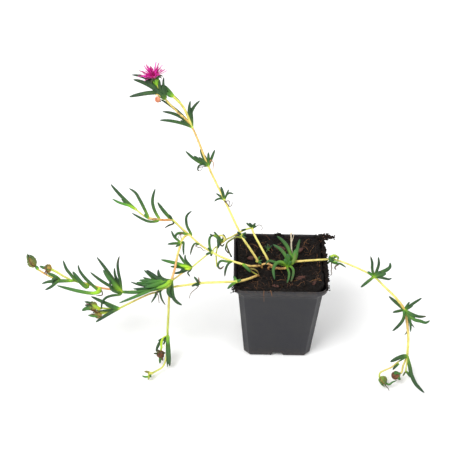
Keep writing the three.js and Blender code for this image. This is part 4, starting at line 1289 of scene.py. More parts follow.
backPath = [
    (-18, -1, 80), (-18, -1, 88), (-29, -7, 93), (-36, -8, 96), (-46, -6, 98), (-56, -4, 101),
    (-66, 1, 103), (-78, 8, 107), (-89, 18, 111), (-98, 28, 113), (-106, 36, 115), (-113, 34, 116),
    (-119, 33, 117), (-129, 35, 117), (-136, 39, 119), (-142, 44, 121),
]
hangingPath = [
    backPath[8], (-92, 16, 111), (-95, 11, 110), (-96, 8, 108), (-99, -4, 103), (-101, -15, 96),
    (-104, -25, 88), (-106, -33, 75), (-107, -36, 54), (-108, -38, 36), (-108, -38, 28),
]
fanPath = [
    backPath[6], (-71, -1, 101), (-77, -4, 97), (-86, -10, 92), (-93, -13, 89), (-99, -19, 88),
    (-104, -25, 88), (-110, -27, 82), (-116, -27, 76), (-125, -26, 72), (-138, -27, 65), (-155, -31, 57),
]
loopTop = beside(backPath[6], (1.5, 16, 1))
lowStalkPath = [
    hangingPath[-1], (-107.5, -41, 20), (-109, -47, 13), (-110, -53, 8), (-113, -59, 6), (-118, -63, 5.5),
    (-122, -67, 6), (-125, -69, 6),
]
upperCup = beside((-178, -23, 53), (1, -1.8, 0))
lowerCup = beside((-172, -27, 47), (-0.6, -0.8, 0))
lowBudPath = [hangingPath[-1], (-114, -40, 24), (-114, -43, 17), (-115, -43, 13.7)]


def makeBackLeaves():
    node = backPath[8]
    return [
        bentLeaf(backPath[3], [(1.5, -1.2, 3), (5, -4.5, 4), (7.5, -7.5, 4)], 3.2, 0.6),
        bentLeaves(backPath[4], [
            ([(-3.5, -2, 3), (-5.6, -5.5, 3), (-6.8, -10, 3), (-7.2, -14.8, 3)], 2.4, 0.0, (0, 0, 0.2)),
            ([(-5, -0.5, 2), (-10.5, 0.2, 2), (-13.3, -2, 2), (-13.8, -5, 2),
              (-11.6, -7.2, 2), (-8, -4.6, 2)], 2.3, 0.25, (0, 0, 0.1, 0.8)),
        ]),
        whorl(backPath[6], [(-6, -2, 3, 2.4), (-1, -4, -3, 2.2), (-4, 4.5, 4, 2.2)], 0.3, 1.8),
        bentLeaf(backPath[7], [
            (-3, 0.5, 2), (-5, 0.3, 2), (-7, -3, 2), (-8.2, -7, 2), (-8.8, -10.5, 2),
        ], 2.0, 0.1, 0.12),
        curl(backPath[7], [(-4, -1.5, 2), (-1, -3, 2), (1.5, -3.5, 2), (3.5, -5.8, 1), (6, -6.5, 1)], 0.5, 0.9),
        bentLeaves(node, [
            ([(2.6, -0.5, -1), (0.6, 3.6, -1), (-1.8, 8, -2), (-2.8, 13.5, -2), (-2.6, 17, -2),
              (-1, 20, -2), (2.5, 23, -2)], 2.7, 0.05),
            ([(-3, 0.6, 2), (-6.5, 1.4, 2), (-10, 1.2, 2), (-12.3, -0.4, 2), (-12.8, -3, 2),
              (-10.8, -5.8, 2)], 2.7, 0.5),
        ]),
        curl(backPath[10], [(4, -3.8, 1), (7.6, -7.2, 1), (11.6, -11.2, 1), (15, -13.6, 1)], 0.65, 0.8),
        curl(node, [(-6.5, 1.5, 3), (-7.5, -1.5, 3), (-7, -5, 3)], 0.6, 0.7, 0.8, stemIndex),
        curl(node, [(-8, 0, 4), (-9.8, -4, 4)], 0.5, 0.9),
        makeCollar(node, 1.4),
        whorl(backPath[10], [(-14.5, 17, 0, 3.6, 0.03), (-4.8, 3.6, -2, 2.2), (-3, 5, 4, 2.8)], 0.15),
        bentLeaf(backPath[10], [(1.5, -3.5, 2), (-3, -5.5, 3), (-7, -8.2, 3)], 1.8, 0.0, 0.2),
        bentLeaves(backPath[12], [
            ([(0.4, 1.2, -1), (-2.4, 5.5, -2), (-5, 11, -2), (-6.4, 17, -2), (-6, 23, -2),
              (-4, 30.4, -2)], 3.2, 0.15),
            ([(-1, -1.5, 3), (-6, -2.2, 4), (-11, -1.6, 4), (-17, 1, 4), (-26, 6, 4)], 2.6, 0.1),
        ]),
        makeCollar(backPath[12], 1.2),
        bentLeaves(backPath[13], [
            ([(-1, 2.5, 0), (-4.5, 9.5, 0), (-9.3, 18.5, 0), (-13.5, 25, 0), (-19.5, 29, 0)], 3.2, 0.2),
            ([(-2, 1.5, 2), (-4, 4.5, 2)], 2.8, 1.0),
        ]),
        makeCollar(backPath[13], 1.4),
        whorl(backPath[-1], [(-25.5, 24.5, -3, 3.4), (-15, 10, -7, 3.4)], 0.15),
        bentLeaf(backPath[-1], [(-6, 3.2, 3), (-16, 6.2, 4), (-23, 9.8, 4)], 2.7, 1.0),
    ]


def makeHangingLeaves():
    knee, low = hangingPath[3], hangingPath[-1]
    return [
        bentLeaves(knee, [
            ([(-3, 2.5, -2), (-7, 6, -3), (-10, 12, -3)], 2.5, 0.15),
            ([(2.5, 1, 3), (2.4, -5, 4), (3, -11.5, 4)], 2.2, 0.1),
        ]),
        whorl(knee, [(-13, -1.2, 4, 2.7), (-5, -3.5, 6, 2.2)], 0.35, 1.6),
        whorl(low, [(2.8, -28.6, 5, 4.2), (0.8, -26.8, 2, 3.8), (0.2, -30.4, -1, 2.2)], 0.3),
        whorl(low, [(-9.3, -4.2, 3, 2.1)], 0.4, 1.7),
        bentLeaves(low, [
            ([(0.4, -2, 7), (0.8, -7.5, 8)], 3.8, 0.9, 0.0, 0.0, 0.5),
            ([(-3, -0.5, 5), (-5.2, -3.5, 6), (-5.9, -8, 6), (-6.1, -13, 5)], 2.4, 1.0, 0.0, 0.0, 0.12),
            ([(-4.5, -3, 2), (-7.6, -6.5, 2), (-9.8, -11, 2), (-11, -15.2, 2)], 3.1, 0.0),
            ([(-2.6, -2, 8), (-2.4, -4.5, 8), (-4.2, -7.6, 8)], 2.4, 0.1),
        ]),
        curl(low, [(-2.5, -6, 4), (-3, -9, 5), (-4.5, -11, 5)], 0.45, 0.0, 0.0, stemIndex),
        stem(
            fromBase(lowStalkPath[-1], [(4, 1.8, 0), (1.4, 1.2, 0), (0, 1.4, 0)]), 1.2, 2.3, tone=(0.6, 0.5, 0.7),
            warm=(0.2, 0.6),
        ),
        bentLeaves(lowStalkPath[-1], [
            ([(0, 2.2, 0), (-4.6, 3.2, 0)], 2.4, 0.9, 0.1, 0.3),
            ([(0, -1.4, 1), (-3.6, -2, 1), (-6.6, -0.9, 1)], 2.0, 0.9),
            ([(0.4, -2, 2), (-0.4, -4.8, 2)], 2.0, 1.0, 0.0, 0.3, 0.4),
            ([(1.6, -0.8, 2), (2.2, -2.6, 2)], 2.0, 0.5, 0.1),
        ]),
    ]


def makeFanLeaves():
    spray, fan, tip = fanPath[3], hangingPath[6], fanPath[-1]
    return [
        whorl(spray, [(-12, 13.5, -5, 2.8, 0.06), (-19.5, 1.2, 5, 3), (-10, -0.5, 4, 3)], 0.5),
        bentLeaves(spray, [
            ([(0, 1.5, 2), (-4, 6, 3), (-5.7, 9.5, 3), (-5.5, 13, 3)], 2.5, 0.05),
            ([(-1, 0.8, 2), (-15, 4.6, 4), (-29, 7.4, -2)], 3.4, 0.9),
            ([(-3, 1, 5), (-11, 2.8, 6)], 2.8, 1.0, 0.0, 0.0, 0.22),
            ([(-2, -0.8, 6), (-6, -0.6, 6)], 2.4, 1.0, 0.0, 0.0, 0.1),
        ]),
        whorl(spray, [(-16.5, -5.5, 3, 2.8, 0.04), (-10, -2.5, 5, 3)], 0.1),
        bentLeaf(spray, [(0, -1.5, 3), (-2, -3.5, 4), (-2.8, -5, 4), (-0.3, -8.3, 4)], 1.7, 0.0),
        bentLeaves(fan, [
            ([(-5, 0.4, -1), (-9.6, 2.2, -2), (-12.2, 5.6, -2), (-13, 10.6, -2)], 3.6, 0.0),
            ([(-6, 0.2, 2), (-12, 1.4, 2), (-17.5, 5, 2), (-24, 10, 2)], 4.0, 0.0),
            ([(-8, -0.4, 1), (-15, 0.6, 0), (-20, 4.4, 0), (-26.4, 9.8, 0)], 3.2, 0.4),
        ]),
        whorl(fan, [(-27.5, 2.8, -2, 3.2, 0.08), (-9, 0.2, 3, 3.8)], 0.3, 1.9),
        whorl(fan, [
            (-25, 0, 3, 3.6, 0.04), (-31, 0, 0, 3.8, 0.02), (-33, -1.8, 5, 4, 0.04), (-28, -4, 6, 4, 0.04),
        ], 0.7, 1.8),
        whorl(fan, [(-39.4, -1.6, -3, 2.8, 0.1), (-36.2, -8, 3, 3.6, 0.06), (-34.5, -16.8, -5, 3)], 0.08, 1.8),
        whorl(fan, [
            (-42, -12, 3, 3.6, 0.06), (-24, -2, 7, 4.4), (-25, -6, 8, 4.4), (-49.5, -22, 3, 3.2),
            (-20, -9, 7, 4, 0.05),
        ], 0.8, 1.8),
        whorl(fan, [(-7, -5, 9, 4.4), (-9, -3, 9, 3.6)], 1.0, 1.6),
        bentLeaves(fan, [
            ([(-3.4, -2.4, 9), (-7.6, -4.6, 10), (-14, -6.8, 9)], 3.2, 1.0, 0.0, 0.0, 0.4),
            ([(-1.4, -3.6, 9), (-6, -6.4, 9), (-13, -9, 8)], 2.4, 1.0, 0.0, 0.2, 0.55),
            ([(-2.2, -0.8, 9), (-5, -3, 10)], 3.8, 1.0, 0.0, 0.0, 0.16),
            ([(0.4, -2, 4), (1, -9, 6), (2.4, -15.5, 6), (5.6, -19.6, 6), (10.6, -22.6, 6)], 3.7, 0.1),
            ([(-1.5, -5, 8), (-2.4, -10, 8), (-0.8, -13.5, 8), (1.6, -16, 8)], 4.0, 0.1),
            ([(-12.5, -10, 6), (-15, -14.8, 6), (-18.6, -20.8, 6)], 2.5, 0.05),
            ([(-9.5, -8.5, 5), (-9.5, -15, 5), (-7.5, -19.5, 5), (-5, -23, 5)], 2.1, 0.1, (0, 0, 0.2)),
        ]),
        curl(fan, [(-12.5, -9.5, 7), (-12, -14, 7), (-11, -21, 7)], 0.6, 0.85),
        whorl(tip, [(-27.6, 11, -3, 3.5, 0.02), (-13, 3.8, 3, 3.8)], 0.3),
        whorl(tip, [(-22, -13.5, 2, 3.4, -0.03), (-21, -3.2, -3, 2)], 0.0, 1.4),
        whorl(tip, [(-5, 2, 4, 3)], 1.0, 1.3),
        bud(upperCup, (-9.5, 3, 2), 4.0, 1.0, 5, 0.85, 0.1, 0.3, 0.5, 0.05, 0.6),
        bentLeaf(beside(upperCup, (3.4, -1.8, 3)), [(-3, 2, 1), (-8, 5, 1)], 3.6, 1.0, 0.0, 0.2, 0.35),
        bentLeaves(upperCup, [
            ([(-5, 3.5, 2), (-9, 5.2, 2), (-12.4, 5.6, 2)], 2.6, 0.2),
            ([(-6, 1.5, 4), (-11.8, 2.2, 3)], 2.4, 0.05),
            ([(-6, -0.5, 3), (-10, -0.8, 3), (-14.6, -3, 3)], 4.2, 0.5),
        ]),
        bud(lowerCup, (-9, -0.4, 2), 3.8, 1.0, 5, 0.85, 0.1, 0.3, 0.9, 0.1, 0.8),
        bentLeaf(lowerCup, [(-6, -1.8, 4), (-13, -1.2, 3)], 2.8, 0.8),
        curl(lowerCup, [(-4, 1.5, 4), (-8, 3.4, 5), (-11, 4.4, 5)], 0.8, 0.5, 0.6, huskIndex),
    ]


def makeBackShoot():
    return [
        stem(
            backPath, plant["stemRadius"], 0.8,
            warm=(0.7, 0.6, 0.4, 0.2, 0, 0, 0, 0, 0.15, 0, 0, 1, 0.9, 0.5, 0.2, 0),
            tone=(0, 0, 0, 0, 0, 0, 0.2, 0, 0, 0, 0.5, 0, 0.2, 0.2, 0.4, 0.9),
            dry=(0.3, 0.25, 0.15, 0, 0, 0, 0, 0.12, 0, 0.05, 0, 0, 0.3, 0.3, 0, 0),
        ),
        stem(
            hangingPath, 1.2, 1.1, warm=(0, 0.25, 0.2, 0.1, 0.3, 0.9, 0.8, 0.5, 0.3, 0.1, 0),
            tone=(0, 0, 0, 0, 0, 0, 0.2, 0.4, 0.6, 0.8, 1),
        ),
        stem(
            fanPath, 0.7, 0.95, warm=(0, 0, 0, 0.2, 0.4, 0.5, 0.5, 0.4, 0.5, 0.7, 0.6, 0.2),
            tone=(0.2, 0.3, 0.4, 0.4, 0, 0.1, 0.6, 0.7, 0.4, 0.3, 0.3, 0.8),
        ),
        bentLeaf(backPath[6], [(-2, 4, 1), (-2.9, 10, 1), (-2.2, 14.4, 1), (0.6, 16.4, 1), (3.6, 16, 1)], 2.5, 0.35),
        bentLeaves(loopTop, [
            ([(2.8, -1, 0), (4.6, -4, 0), (4.9, -8, 0), (4, -12.4, 0)], 3.1, 0.1),
            ([(-1.5, 0.4, 1), (-4.2, 1.8, 1)], 1.6, 0.0, 0.2),
            ([(2.2, 1.6, -1), (-0.4, 3.9, -1)], 1.9, 0.2),
        ]),
        stem(
            [(-66, 1, 103), (-64, 4, 105), (-61, 6, 106), (-62, 3, 98), (-61, -3, 88.5)], 0.6, 0.8, tone=(0.6,),
            dry=(0.1, 0.15),
        ),
        stem(backPath[10:14], 1.15, 1.35, warm=(0.6, 1, 0.7, 0.5), dry=(0, 0, 0.2, 0.25)),
        stem([fanPath[-1], (-167, -28, 54), upperCup], 0.7, 1.0, tone=(0.9, 0.9)),
        stem([fanPath[-1], (-167, -30, 51), (-175, -27, 47)], 1.2, 1.5, tone=(0.9, 0.9)),
        stem(lowStalkPath, 0.8, 0.9, tone=(0.6, 0.5, 0.4, 0.3, 0.4, 0.5, 0.7, 0.8)),
        stem(lowBudPath, 1.1, 1.0, tone=(0.8, 0.5, 0.3)),
        makeBackLeaves(),
        makeHangingLeaves(),
        makeFanLeaves(),
    ]


# Long left stem at the front, over the left rim and out behind the fan

frontPath = [
    (-21, -15, 80), (-21, -15, 88), (-29, -24, 92), (-36, -32, 96), (-42, -35, 97), (-58, -34, 95),
    (-77, -30, 90), (-88, -28, 86), (-100, -19, 76), (-111, -16, 71), (-126, -17, 68), (-140, -18, 68),
    (-153, -20, 69), (-164, -18, 70), (-174, -17, 71), (-186, -14, 73), (-194, -13, 74), (-201, -12, 75),
    (-213, -13, 77), (-221, -12, 79), (-228, -9, 81), (-234, -7, 84), (-238, -4, 86),
]
upperBudPath = [frontPath[17], (-210, -9, 78.2), (-217, -6, 81), (-222, -4.2, 82.4)]


def makeFrontLeaves():
    sprout, knot, far = frontPath[12], frontPath[14], frontPath[18]
    return [
        bentLeaf(frontPath[1], [(-8.5, 5.4, 1), (-5, 6.4, 3), (-1.5, 4.6, 3), (0.4, 1.4, 2)], 1.5, 0.5, 0.1, 0.3),
        whorl(frontPath[4], [(-8.5, -7, 3, 2.8), (-3, 5, -2, 2.6), (4, 2, 3, 2.6)], 0.7, 1.6),
        whorl(frontPath[6], [(-5.5, 6, -2, 2.4), (-3, 3, 4, 2.8), (-7.5, -3, 3, 2.6), (-3, -2.5, 5, 2.4)], 0.05, 1.7),
        curl(frontPath[6], [(-0.5, 2, 3), (-1, 5.5, 2)], 0.8, 0.4, 1.0, stemIndex),
        curl(frontPath[6], [(-2, -4, 2), (-6.5, -8, 2), (-8.5, -10.5, 2), (-9.5, -14.5, 2)], 0.45),
        whorl(sprout, [(-25, 33, -4, 3.4, -0.02), (-30.5, 18.5, 1, 3, 0.03)], 0.1, 1.7),
        whorl(sprout, [(-17.5, 21, 5, 4.6), (23, 0.5, -2, 3.4, -0.02), (8, -0.5, 2, 3)], 0.55, 1.4),
        bentLeaves(sprout, [
            ([(-3, 8, -3), (-6.5, 15, -3), (-7.6, 23, -3)], 2.8, 0.0),
            ([(-1, 9, 1), (-3.2, 19, 1), (-4, 27, 1), (-2.6, 34.5, 1)], 2.9, 0.0, (0, 0, 0.2)),
            ([(-3, -0.5, 4), (-8, 1.5, 5), (-10.6, 5.5, 5), (-10.3, 11.5, 5)], 2.7, 0.05),
            ([(-1, -2.5, 4), (-8, -3.5, 4), (-14, -5.5, 4), (-17.4, -9, 4), (-18.6, -13, 4),
              (-18.4, -17.4, 4)], 2.5, 0.0),
        ]),
        bentLeaves(knot, [
            ([(-1, -2.5, 1), (-8, 3, 1), (-15, 9.5, 0), (-20, 16, -1), (-22, 21.8, -2)], 3.2, 0.1),
            ([(0, -3.8, 4), (-7, -5.2, 5), (-18, -3.8, 5), (-30, -1.2, 5), (-41, 1.6, 5)], 3.5, 0.6),
            ([(-1, -3.5, 7), (-4, -4.8, 8), (-8.6, -4.8, 8)], 3.7, 1.0, 0.0, 0.0, 0.25),
            ([(2.5, -3.5, 4), (2.5, -7, 4), (-3.5, -7.3, 4)], 1.2, 0.0, 0.4),
        ]),
        makeCollar(beside(knot, (0, -2.5, 2)), 1.7),
        bentLeaf(frontPath[15], [(-1, -3, 2), (-8, 3.5, 3), (-14.5, 12, 3)], 4.2, 0.35),
        bentLeaf(frontPath[16], [(-4, 2, 1), (-9, 7.5, 0), (-13.5, 13, -1), (-16.8, 21, -2)], 3.1, 0.2),
        makeCollar(frontPath[15], 1.2),
        bentLeaves(frontPath[17], [
            ([(-1, 0, 3), (-8, -0.2, 4), (-17, -0.8, 4), (-23, -1.3, 4), (-29, -3.2, 4)], 3.5, 0.25),
            ([(-0.6, 0.4, 5), (-3.4, 0.3, 5)], 2.8, 1.0, 0.0, 0.0, 0.35),
        ]),
        makeCollar(frontPath[17], 1.2),
        bentLeaves(far, [
            ([(-3, 2.5, 2), (-7, 4.5, 2), (-12, 6.3, 2)], 3.2, 0.5),
            ([(-2, -2, 4), (-8, -7, 4), (-13.5, -10, 4)], 2.9, 0.1),
            ([(-3, 2, 4), (-6.3, -0.5, 5), (-6.2, -4.5, 5)], 2.6, 0.15),
        ]),
        makeCollar(far, 1.2),
        bud(upperBudPath[-1], (-8.2, 1.8, 0), 3.7, 1.0, 4, 0.8, -0.1, 0.0, 0.3, 0.1, 0.95),
        bentLeaf(upperBudPath[-1], [(-4, 0.8, 3), (-8, 1.8, 3), (-11, 3.2, 3)], 3.2, 0.55),
        curl(
            beside(upperBudPath[-1], (-6.4, 1.6, 4)), [(1.6, -1.4, 0), (2.6, -3.4, 0), (2.7, -7, 0)], 0.8, 0.9, 0.2,
            huskIndex,
        ),
        curl(frontPath[20], [(1.5, 3, 1), (2, 7, 1)], 0.7, 0.5),
        bud((-237.8, -4.5, 85.5), (-7.2, 12.0, 0), 4.0, 0.45, 5, 0.94, -0.6, 0.0, 0.5, 0.03, 0.2),
        curl((-237, -4.5, 85.5), [(-2.6, 1.5, 5.2), (-4.4, 4.6, 5.8), (-6.2, 8, 5)], 0.7, 0.6, 0.0, huskIndex),
        bentLeaf(frontPath[21], [(-1, 1, 0), (-3, 4, 0)], 3.4, 0.9),
    ]


def makeFrontShoot():
    return [
        stem(
            frontPath, plant["stemRadius"], 0.9,
            warm=(0.7, 0.6, 0.4, 0.4, 0.2, 0, 0.1, 0, 0, 0.1, 0.2, 0.3, 0.5, 1, 0.9, 0.4, 0.2,
                  0, 0, 0.3, 0.9, 0.5, 0.1),
            tone=(0, 0, 0, 0, 0.3, 0, 0.3, 0, 0, 0.2, 0.4, 0.9, 0.9, 0, 0, 0.4, 0.3, 0.5, 0.8, 0.5, 0, 0.4, 1),
            dry=(0.3, 0.25, 0.1, 0, 0, 0, 0, 0, 0, 0, 0, 0, 0, 0, 0, 0, 0, 0, 0, 0, 0.15, 0, 0),
        ),
        stem(upperBudPath, 0.9, 1.4, tone=(0.6, 0.2, 0.5, 0.9)),
        makeFrontLeaves(),
    ]


# Crown of big leaves on the soil and the stem that hangs over the right rim

rightPath = [
    (-11, -3, 80), (-11, -3, 88), (-8, -5, 91), (-4, -8, 92), (5, -8, 92), (7, -6, 93), (12, -2, 95),
    (19, -3, 97), (33, -1, 97), (45, 1, 96.5), (51, 1, 97), (62, -4, 97), (77, -10, 94), (90, -16, 90),
    (101, -22, 82), (112, -26, 72), (121, -29, 60), (124, -34, 49), (126, -42, 35), (125, -54, 22),
]
rightBudPath = [rightPath[-1], (121, -60, 15), (120, -64, 11), (118, -65.5, 10)]
rightStalkPath = [rightPath[-1], (116, -58, 18), (110, -61, 14), (104, -62, 11), (99, -64, 9), (98, -68, 7)]


def makeCrown():
    heart, crest = rightPath[5], rightPath[6]
    return [
        bentLeaf(crest, [(-2, 8.5, -6), (-5, 15, -9), (-9.5, 20.5, -11), (-15, 24.8, -12)], 3.8, 0.6),
        bentLeaf(heart, [(-1, 8, 4), (-4, 13, 4), (-8.5, 17.5, 4), (-14.5, 20.8, 3)], 3.3, 0.6),
        bentLeaf(crest, [(2.4, 5, -1), (4.4, 11, -2), (5.6, 17, -3), (7, 22.4, -4)], 3.2, 0.5),
        whorl(crest, [(3.8, 12.5, -2, 5.8), (-4, 7, 5, 4)], 1.0, 1.6),
        bentLeaf(crest, [(-1, -1.5, 6), (1.6, 4, 6), (2.4, 9, 3)], 3.4, 1.0, 0.0, 0.1),
        whorl(heart, [(-0.4, 12, 7, 5.4), (-3, 7, 8, 4.6), (3, 5, 8, 4)], 0.95, 1.6),
        bentLeaves(heart, [
            ([(-3, 3, 5), (-8, 4.2, 7), (-12, 2, 9), (-14, -3, 11), (-13.6, -8, 13), (-12.5, -12.5, 14)], 3.4, 0.55),
            ([(-10, 3, 2), (-15, 4.5, 2), (-18.5, 4.8, 2), (-21.5, 1, 3)], 2.5, 0.6),
            ([(3, 0, 4), (5.4, -3.4, 7), (5, -8.5, 10), (2.8, -14.4, 15)], 2.6, 0.4, (0, 0.05, 0.25)),
            ([(0, -2, 6), (1.4, -6, 9), (0.8, -11, 13), (-1, -15.6, 17)], 2.4, 0.4, 0.1),
        ]),
    ]


def makeRightLeaves():
    rim, bend, elbow, foot = rightPath[10], rightPath[13], rightPath[16], rightPath[-1]
    return [
        bentLeaf(beside(rim, (-4, 0, 3)), [
            (2, 2.6, 1), (4.5, 3.8, 1), (7.2, 3.2, 1), (8.6, 1.2, 1), (8.4, -1.0, 1),
        ], 2.2, 0.9, 0.0, 0.2, 0.5),
        bentLeaves(rim, [
            ([(-0.5, 0.4, 4), (2, 2.2, 3), (4.6, 2.6, 3), (6, 0.6, 3)], 1.9, 0.3),
            ([(-2.6, 2.2, 3), (-2.6, -0.8, 6), (1, -1.2, 6)], 3.4, 0.35),
            ([(-2.4, -1.6, 3), (0.6, -3.4, 4), (4.6, -4, 4), (7.4, -4.2, 4), (12.8, -7.6, 3)], 2.0, 0.3),
            ([(-1.4, -1.2, 5), (2, -2.2, 6), (5, -2.4, 6)], 1.6, 1.0, 0.0, 0.0, 0.5),
            ([(-3.6, -2.4, 2), (-4.6, -4.6, 2)], 2.0, 0.1),
        ]),
        makeCollar(rim, 1.6),
        curl(beside(rim, (5.5, -4.6, 3)), [(-2.8, -2, 0), (-3.6, -3.8, 0), (-2.4, -5.2, 0)], 0.95, 0.45),
        curl(rim, [(-1.5, -5, 3), (-1.2, -9, 4), (-1.7, -11, 4), (-1.2, -14, 4), (-2.4, -15.6, 4)], 0.6),
        bentLeaves(bend, [
            ([(-1.5, 7, -2), (-1.5, 13.5, -4), (-3, 19.5, -5)], 2.7, 0.05),
            ([(2.4, 6, 2), (4, 12.5, 4), (3.4, 19.4, 4)], 2.8, 0.0),
            ([(6.5, 4, 0), (12, 6.5, -2), (15.6, 9.5, -3), (15.8, 13.8, -4)], 3.9, 0.3),
        ]),
        whorl(bend, [(11, 3.5, 5, 4.4), (6, 5.5, 3, 4.4)], 0.35),
        bentLeaf(bend, [(6, -0.4, 4), (10, -1.2, 4), (14, -1.9, 4), (16.6, -0.6, 4)], 2.5, 0.0),
        whorl(bend, [(-13, -10.2, 4, 3), (-6.5, 5.2, 4, 2.8)], 0.2),
        bentLeaf(bend, [(-4, 3, 4), (-7.3, 4.6, 4)], 2.2, 1.0),
        whorl(elbow, [(-15.2, 12.8, 0, 3.3), (-12.2, -2.3, 6, 2.8), (17.2, 11.5, -3, 2.8)], 0.05, 1.7),
        whorl(elbow, [(4.2, 8, 4, 2.4), (8, 5, 2, 3.4)], 0.3, 1.4),
        bentLeaves(elbow, [
            ([(6, -3.5, 2), (12, -5.8, 3), (17, -6.2, 3), (20.6, -5.6, 3)], 3.1, 0.15, (0, 0, 0, 0.25)),
            ([(8, -8.5, 4), (15, -10.5, 5), (20, -11.8, 5), (24, -9.6, 5)], 3.4, 0.55),
            ([(5, -3.5, 3), (10, -7, 4)], 3.6, 0.4),
            ([(-1, -7, 3), (-3, -11.5, 3), (-6.5, -15.8, 3), (-11.8, -20.6, 3)], 3.1, 0.1),
            ([(3.5, -6, 3), (5.4, -12, 4), (5.8, -21, 4)], 2.6, 0.3),
            ([(5, -10, -3), (10.8, -17.8, -5)], 1.8, 0.1),
            ([(4.2, -12, -4), (3.8, -21, -5), (1.2, -25, -5)], 1.8, 0.0),
            ([(-0.8, -2, 3), (-1, -5, 3)], 2.8, 1.0),
        ]),
        bentLeaves(foot, [
            ([(-3.5, 0.4, 2), (-9, -1.4, 3), (-16.8, -5.4, 3)], 4.0, 0.0),
            ([(-4, -1.8, 3), (-8.5, -4.6, 4)], 1.9, 0.4),
            ([(2, -9, 3), (3.4, -17, 6), (6.6, -24.6, 10), (11, -29.6, 12), (14.6, -33, 14)], 3.9, 0.1),
        ]),
        bentLeaf(beside(foot, (-8.5, -6.5, 4)), [(-3.4, -3.2, 0), (-6, -6.4, 0)], 2.5, 0.0),
        stem(fromBase(foot, [(0, 0, 0), (-1, -7, 3), (-2, -14, 5)]), 0.7, 0.7, tone=(0.5, 0.5, 0.8), warm=(0.5, 0.2)),
        bentLeaves(beside(foot, (-2, -14, 5)), [
            ([(2, -1.8, 1), (5, -6, 1)], 2.5, 0.15),
            ([(-1.5, -2, 1), (-3, -4.5, 1)], 1.6, 0.5, 0.3),
        ]),
        bud(
            beside(rightStalkPath[-1], (1.4, 0.6, 2)), (4.0, -7.8, 5.6), 3.6, 0.95, 5, 0.9, -0.1, 0.0, 0.8, 0.05, 0.2,
        ),
        bentLeaf(rightStalkPath[-1], [(8, -6.2, 5), (12, -4, 5), (16.4, -2.2, 5)], 1.9, 0.7),
        curl(rightStalkPath[-1], [(6, -8, 6), (7.6, -9.4, 7), (8.4, -11.6, 8)], 0.5, 0.6, 0.4),
    ]


def makeRightShoot():
    return [
        stem([(-17.5, -2, 91), (-14, -2, 92.4), (-11, -3, 92.6), (-7, -5, 92.4)], 1.0, 1.0, warm=(0.6, 0.8)),
        stem(
            rightPath, plant["stemRadius"], 1.25,
            warm=(0.9, 0.9, 0.8, 0.8, 0.6, 0.3, 0.2, 0.3, 0.2, 0, 0, 0, 0, 0, 0, 0, 0.8, 0.6, 0.1, 0.1),
            tone=(0, 0, 0, 0, 0, 0.5, 0.6, 0, 0, 0, 0.5, 0, 0, 0.4, 0, 0, 0.2, 0, 0, 0.4),
            dry=(0.3, 0.3, 0.25, 0.2, 0.15, 0, 0, 0.1, 0, 0, 0, 0, 0, 0, 0, 0, 0.05, 0, 0, 0),
            waist=(1.2, 1.2, 0.9, 0.9, 1.35),
        ),
        stem(rightBudPath, 0.9, 1.0, warm=(0.35, 0.3), tone=(0.3, 0.1)),
        stem(rightStalkPath, 0.8, 0.9, warm=(0.2, 0.4, 0.2, 0), tone=(0.6, 0.3, 0.1, 0.4, 0.9)),
        makeCrown(),
        makeRightLeaves(),
    ]


# Dry twig and seedling

twigPath = [(12, 11, 80), (12, 11, 92), (11, 13, 104), (10, 14, 118)]
twigSides = [((10.5, 13, 106), (2.5, 9, 1)), ((10, 14, 114), (-1.5, 4.5, 1)), ((10, 14, 116), (1, 4, -1))]
seedlingPath = [(-9, 24, 80), (-9, 24, 85), (-11, 24, 89.5)]


def makeTwig():
    line, shares = curveThrough(twigPath, 1.4)
    made = [tube(line, 0.9 * (1 - 0.35 * shares), 10, seed=0.3)]
    for foot, offsets in twigSides:
        span = fromFront(offsets)
        t = np.linspace(0, 1, 8)[:, None]
        side = np.array(foot, float) + t * span + np.sin(t * 3) * 0.4 * right
        made.append(tube(side, 0.5 * (1.05 - 0.6 * t[:, 0]), 7, seed=0.6))
    return made


def makeSeedling():
    return [
        stem(seedlingPath, 0.6, 0.5, tone=(0.3,), dry=(0.2,)),
        whorl(seedlingPath[-1], [
            (-3.4, 3.4, 1, 1.9), (4, 4.2, 2, 2), (-0.5, 5.4, -1, 1.8), (-2, -2.5, 4, 1.7),
        ], 0.0, 0.8),
    ]


# Withered buds

def witheredBud(stalkEnd, direction, radius, stretch, sepals):
    # Wrinkled pod: girths along it as shares of the radius, with folds round the section, and its sepals
    along = unit(fromFront(direction))
    start = np.asarray(stalkEnd, float) + along * plant["clearance"]
    shares = np.linspace(0, 0.98, 18)
    girths = np.interp(shares, [0, 0.2, 0.5, 0.8, 0.93, 1], [0.3, 0.82, 1, 0.84, 0.5, 0.1]) * radius
    centres = start + (shares * radius * stretch)[:, None] * along
    side, other = aroundWay(along)
    angle = anglesOf(28)
    wrinkled = 1 + 0.1 * np.cos(5 * angle) + 0.06 * np.cos(9 * angle + 4 * shares[:, None])
    around = girths[:, None] * (wrinkled + 0.05 * np.sin(21 * shares)[:, None])
    rings = ringsAround(centres, around * np.cos(angle), around * np.sin(angle), side, other)
    middle = start + along * radius * stretch * 0.45
    return [shell(rings, along=shares, seed=0.4)] + [
        leaf(middle, *offsets, tone=tone, dry=dry) | {"finish": 1} for offsets, tone, dry in sepals
    ]


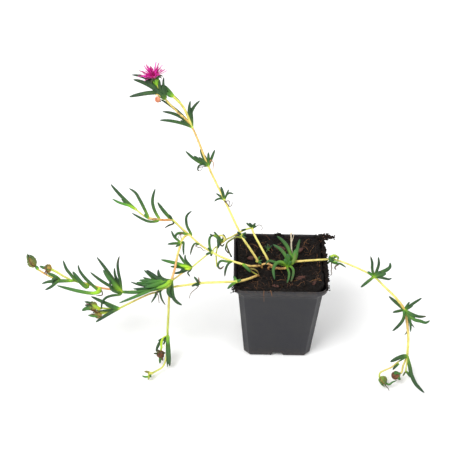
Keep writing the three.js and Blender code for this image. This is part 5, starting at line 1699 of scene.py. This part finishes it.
plantMaterials = [leafFlesh, stemSkin, brownHusk, budHusk]
for name, make, node in (
    ("tallShoot", makeTallShoot, "stem_tall"),
    ("middleShoot", makeMiddleShoot, "stem_middle"),
    ("backShoot", makeBackShoot, "stem_left_back"),
    ("frontShoot", makeFrontShoot, "stem_left_front"),
    ("rightShoot", makeRightShoot, "stem_right"),
    ("seedlingShoot", makeSeedling, "seedling"),
):
    addPiece(name, make(), plantMaterials, [node])
addPiece("bloomPetals", makePetals(), [petalSkin], ["bloom_petals"])
addPiece("bloomStamens", makeStamens(), [pollenThread], ["bloom_stamens"])
addPiece("dryTwig", makeTwig(), [twigSkin], ["twig"])

tallBudStalk = beside(tallPath[8], (-7, 1.4, 6.8))
addPiece(
    "witheredBud", witheredBud(tallBudStalk, (0.4, -2, 0.3), 2.6, 2.3, [((3.2, -2.4, 0, 1.5), 0.9, 0.3)]),
    [peachHusk, leafFlesh], ["bud_withered"],
)
addPiece(
    "lowLeftBud", witheredBud(lowBudPath[-1], (0, -1, -0.4), 3.9, 2.0, [
        ((-0.5, -9.5, 1, 2.8), 0.6, 0.1), ((2.5, -6.5, 2, 2.2), 0.6, 0.6), ((-6.8, 0.5, 2, 2), 0.0, 0.2),
        ((-3.4, 4.4, 4.5, 3.2), 1.0, 0.35), ((5, 1.5, 3, 2.2), 0.3, 0.3), ((1.6, 2.4, 5, 2.6), 1.0, 0.5),
    ]),
    [brownHusk, leafFlesh], ["bud_low_left"],
)
addPiece(
    "lowRightBud", witheredBud(rightBudPath[-1], (-3, -1.4, 0), 4.1, 2.1, [
        ((-1, 4, 4.5, 4.4), 1.0, 0.0), ((3.6, 2.8, 3.4, 3.2), 1.0, 0.0), ((3.6, -3.6, 4.2, 3.4), 1.0, 0.1),
        ((-4, 3, 2, 1.8), 0.7, 0.6),
    ]),
    [brownHusk, leafFlesh], ["bud_low_right"],
)
print("plant ready")


# Floor, a little below the pot, in metres

floorSettings = {"half": 6.0, "level": -0.0003}


def addFloor():
    half = floorSettings["half"]
    ways = ((-1, -1), (1, -1), (1, 1), (-1, 1))
    corners = [(half * x, half * y, floorSettings["level"]) for x, y in ways]
    mesh = bpy.data.meshes.new("floor")
    mesh.from_pydata(corners, [], [(0, 1, 2, 3)])
    mesh.materials.append(paleFloor)
    floor = bpy.data.objects.new("floor", mesh)
    bpy.context.scene.collection.objects.link(floor)


addFloor()
addCamera()
addLights()
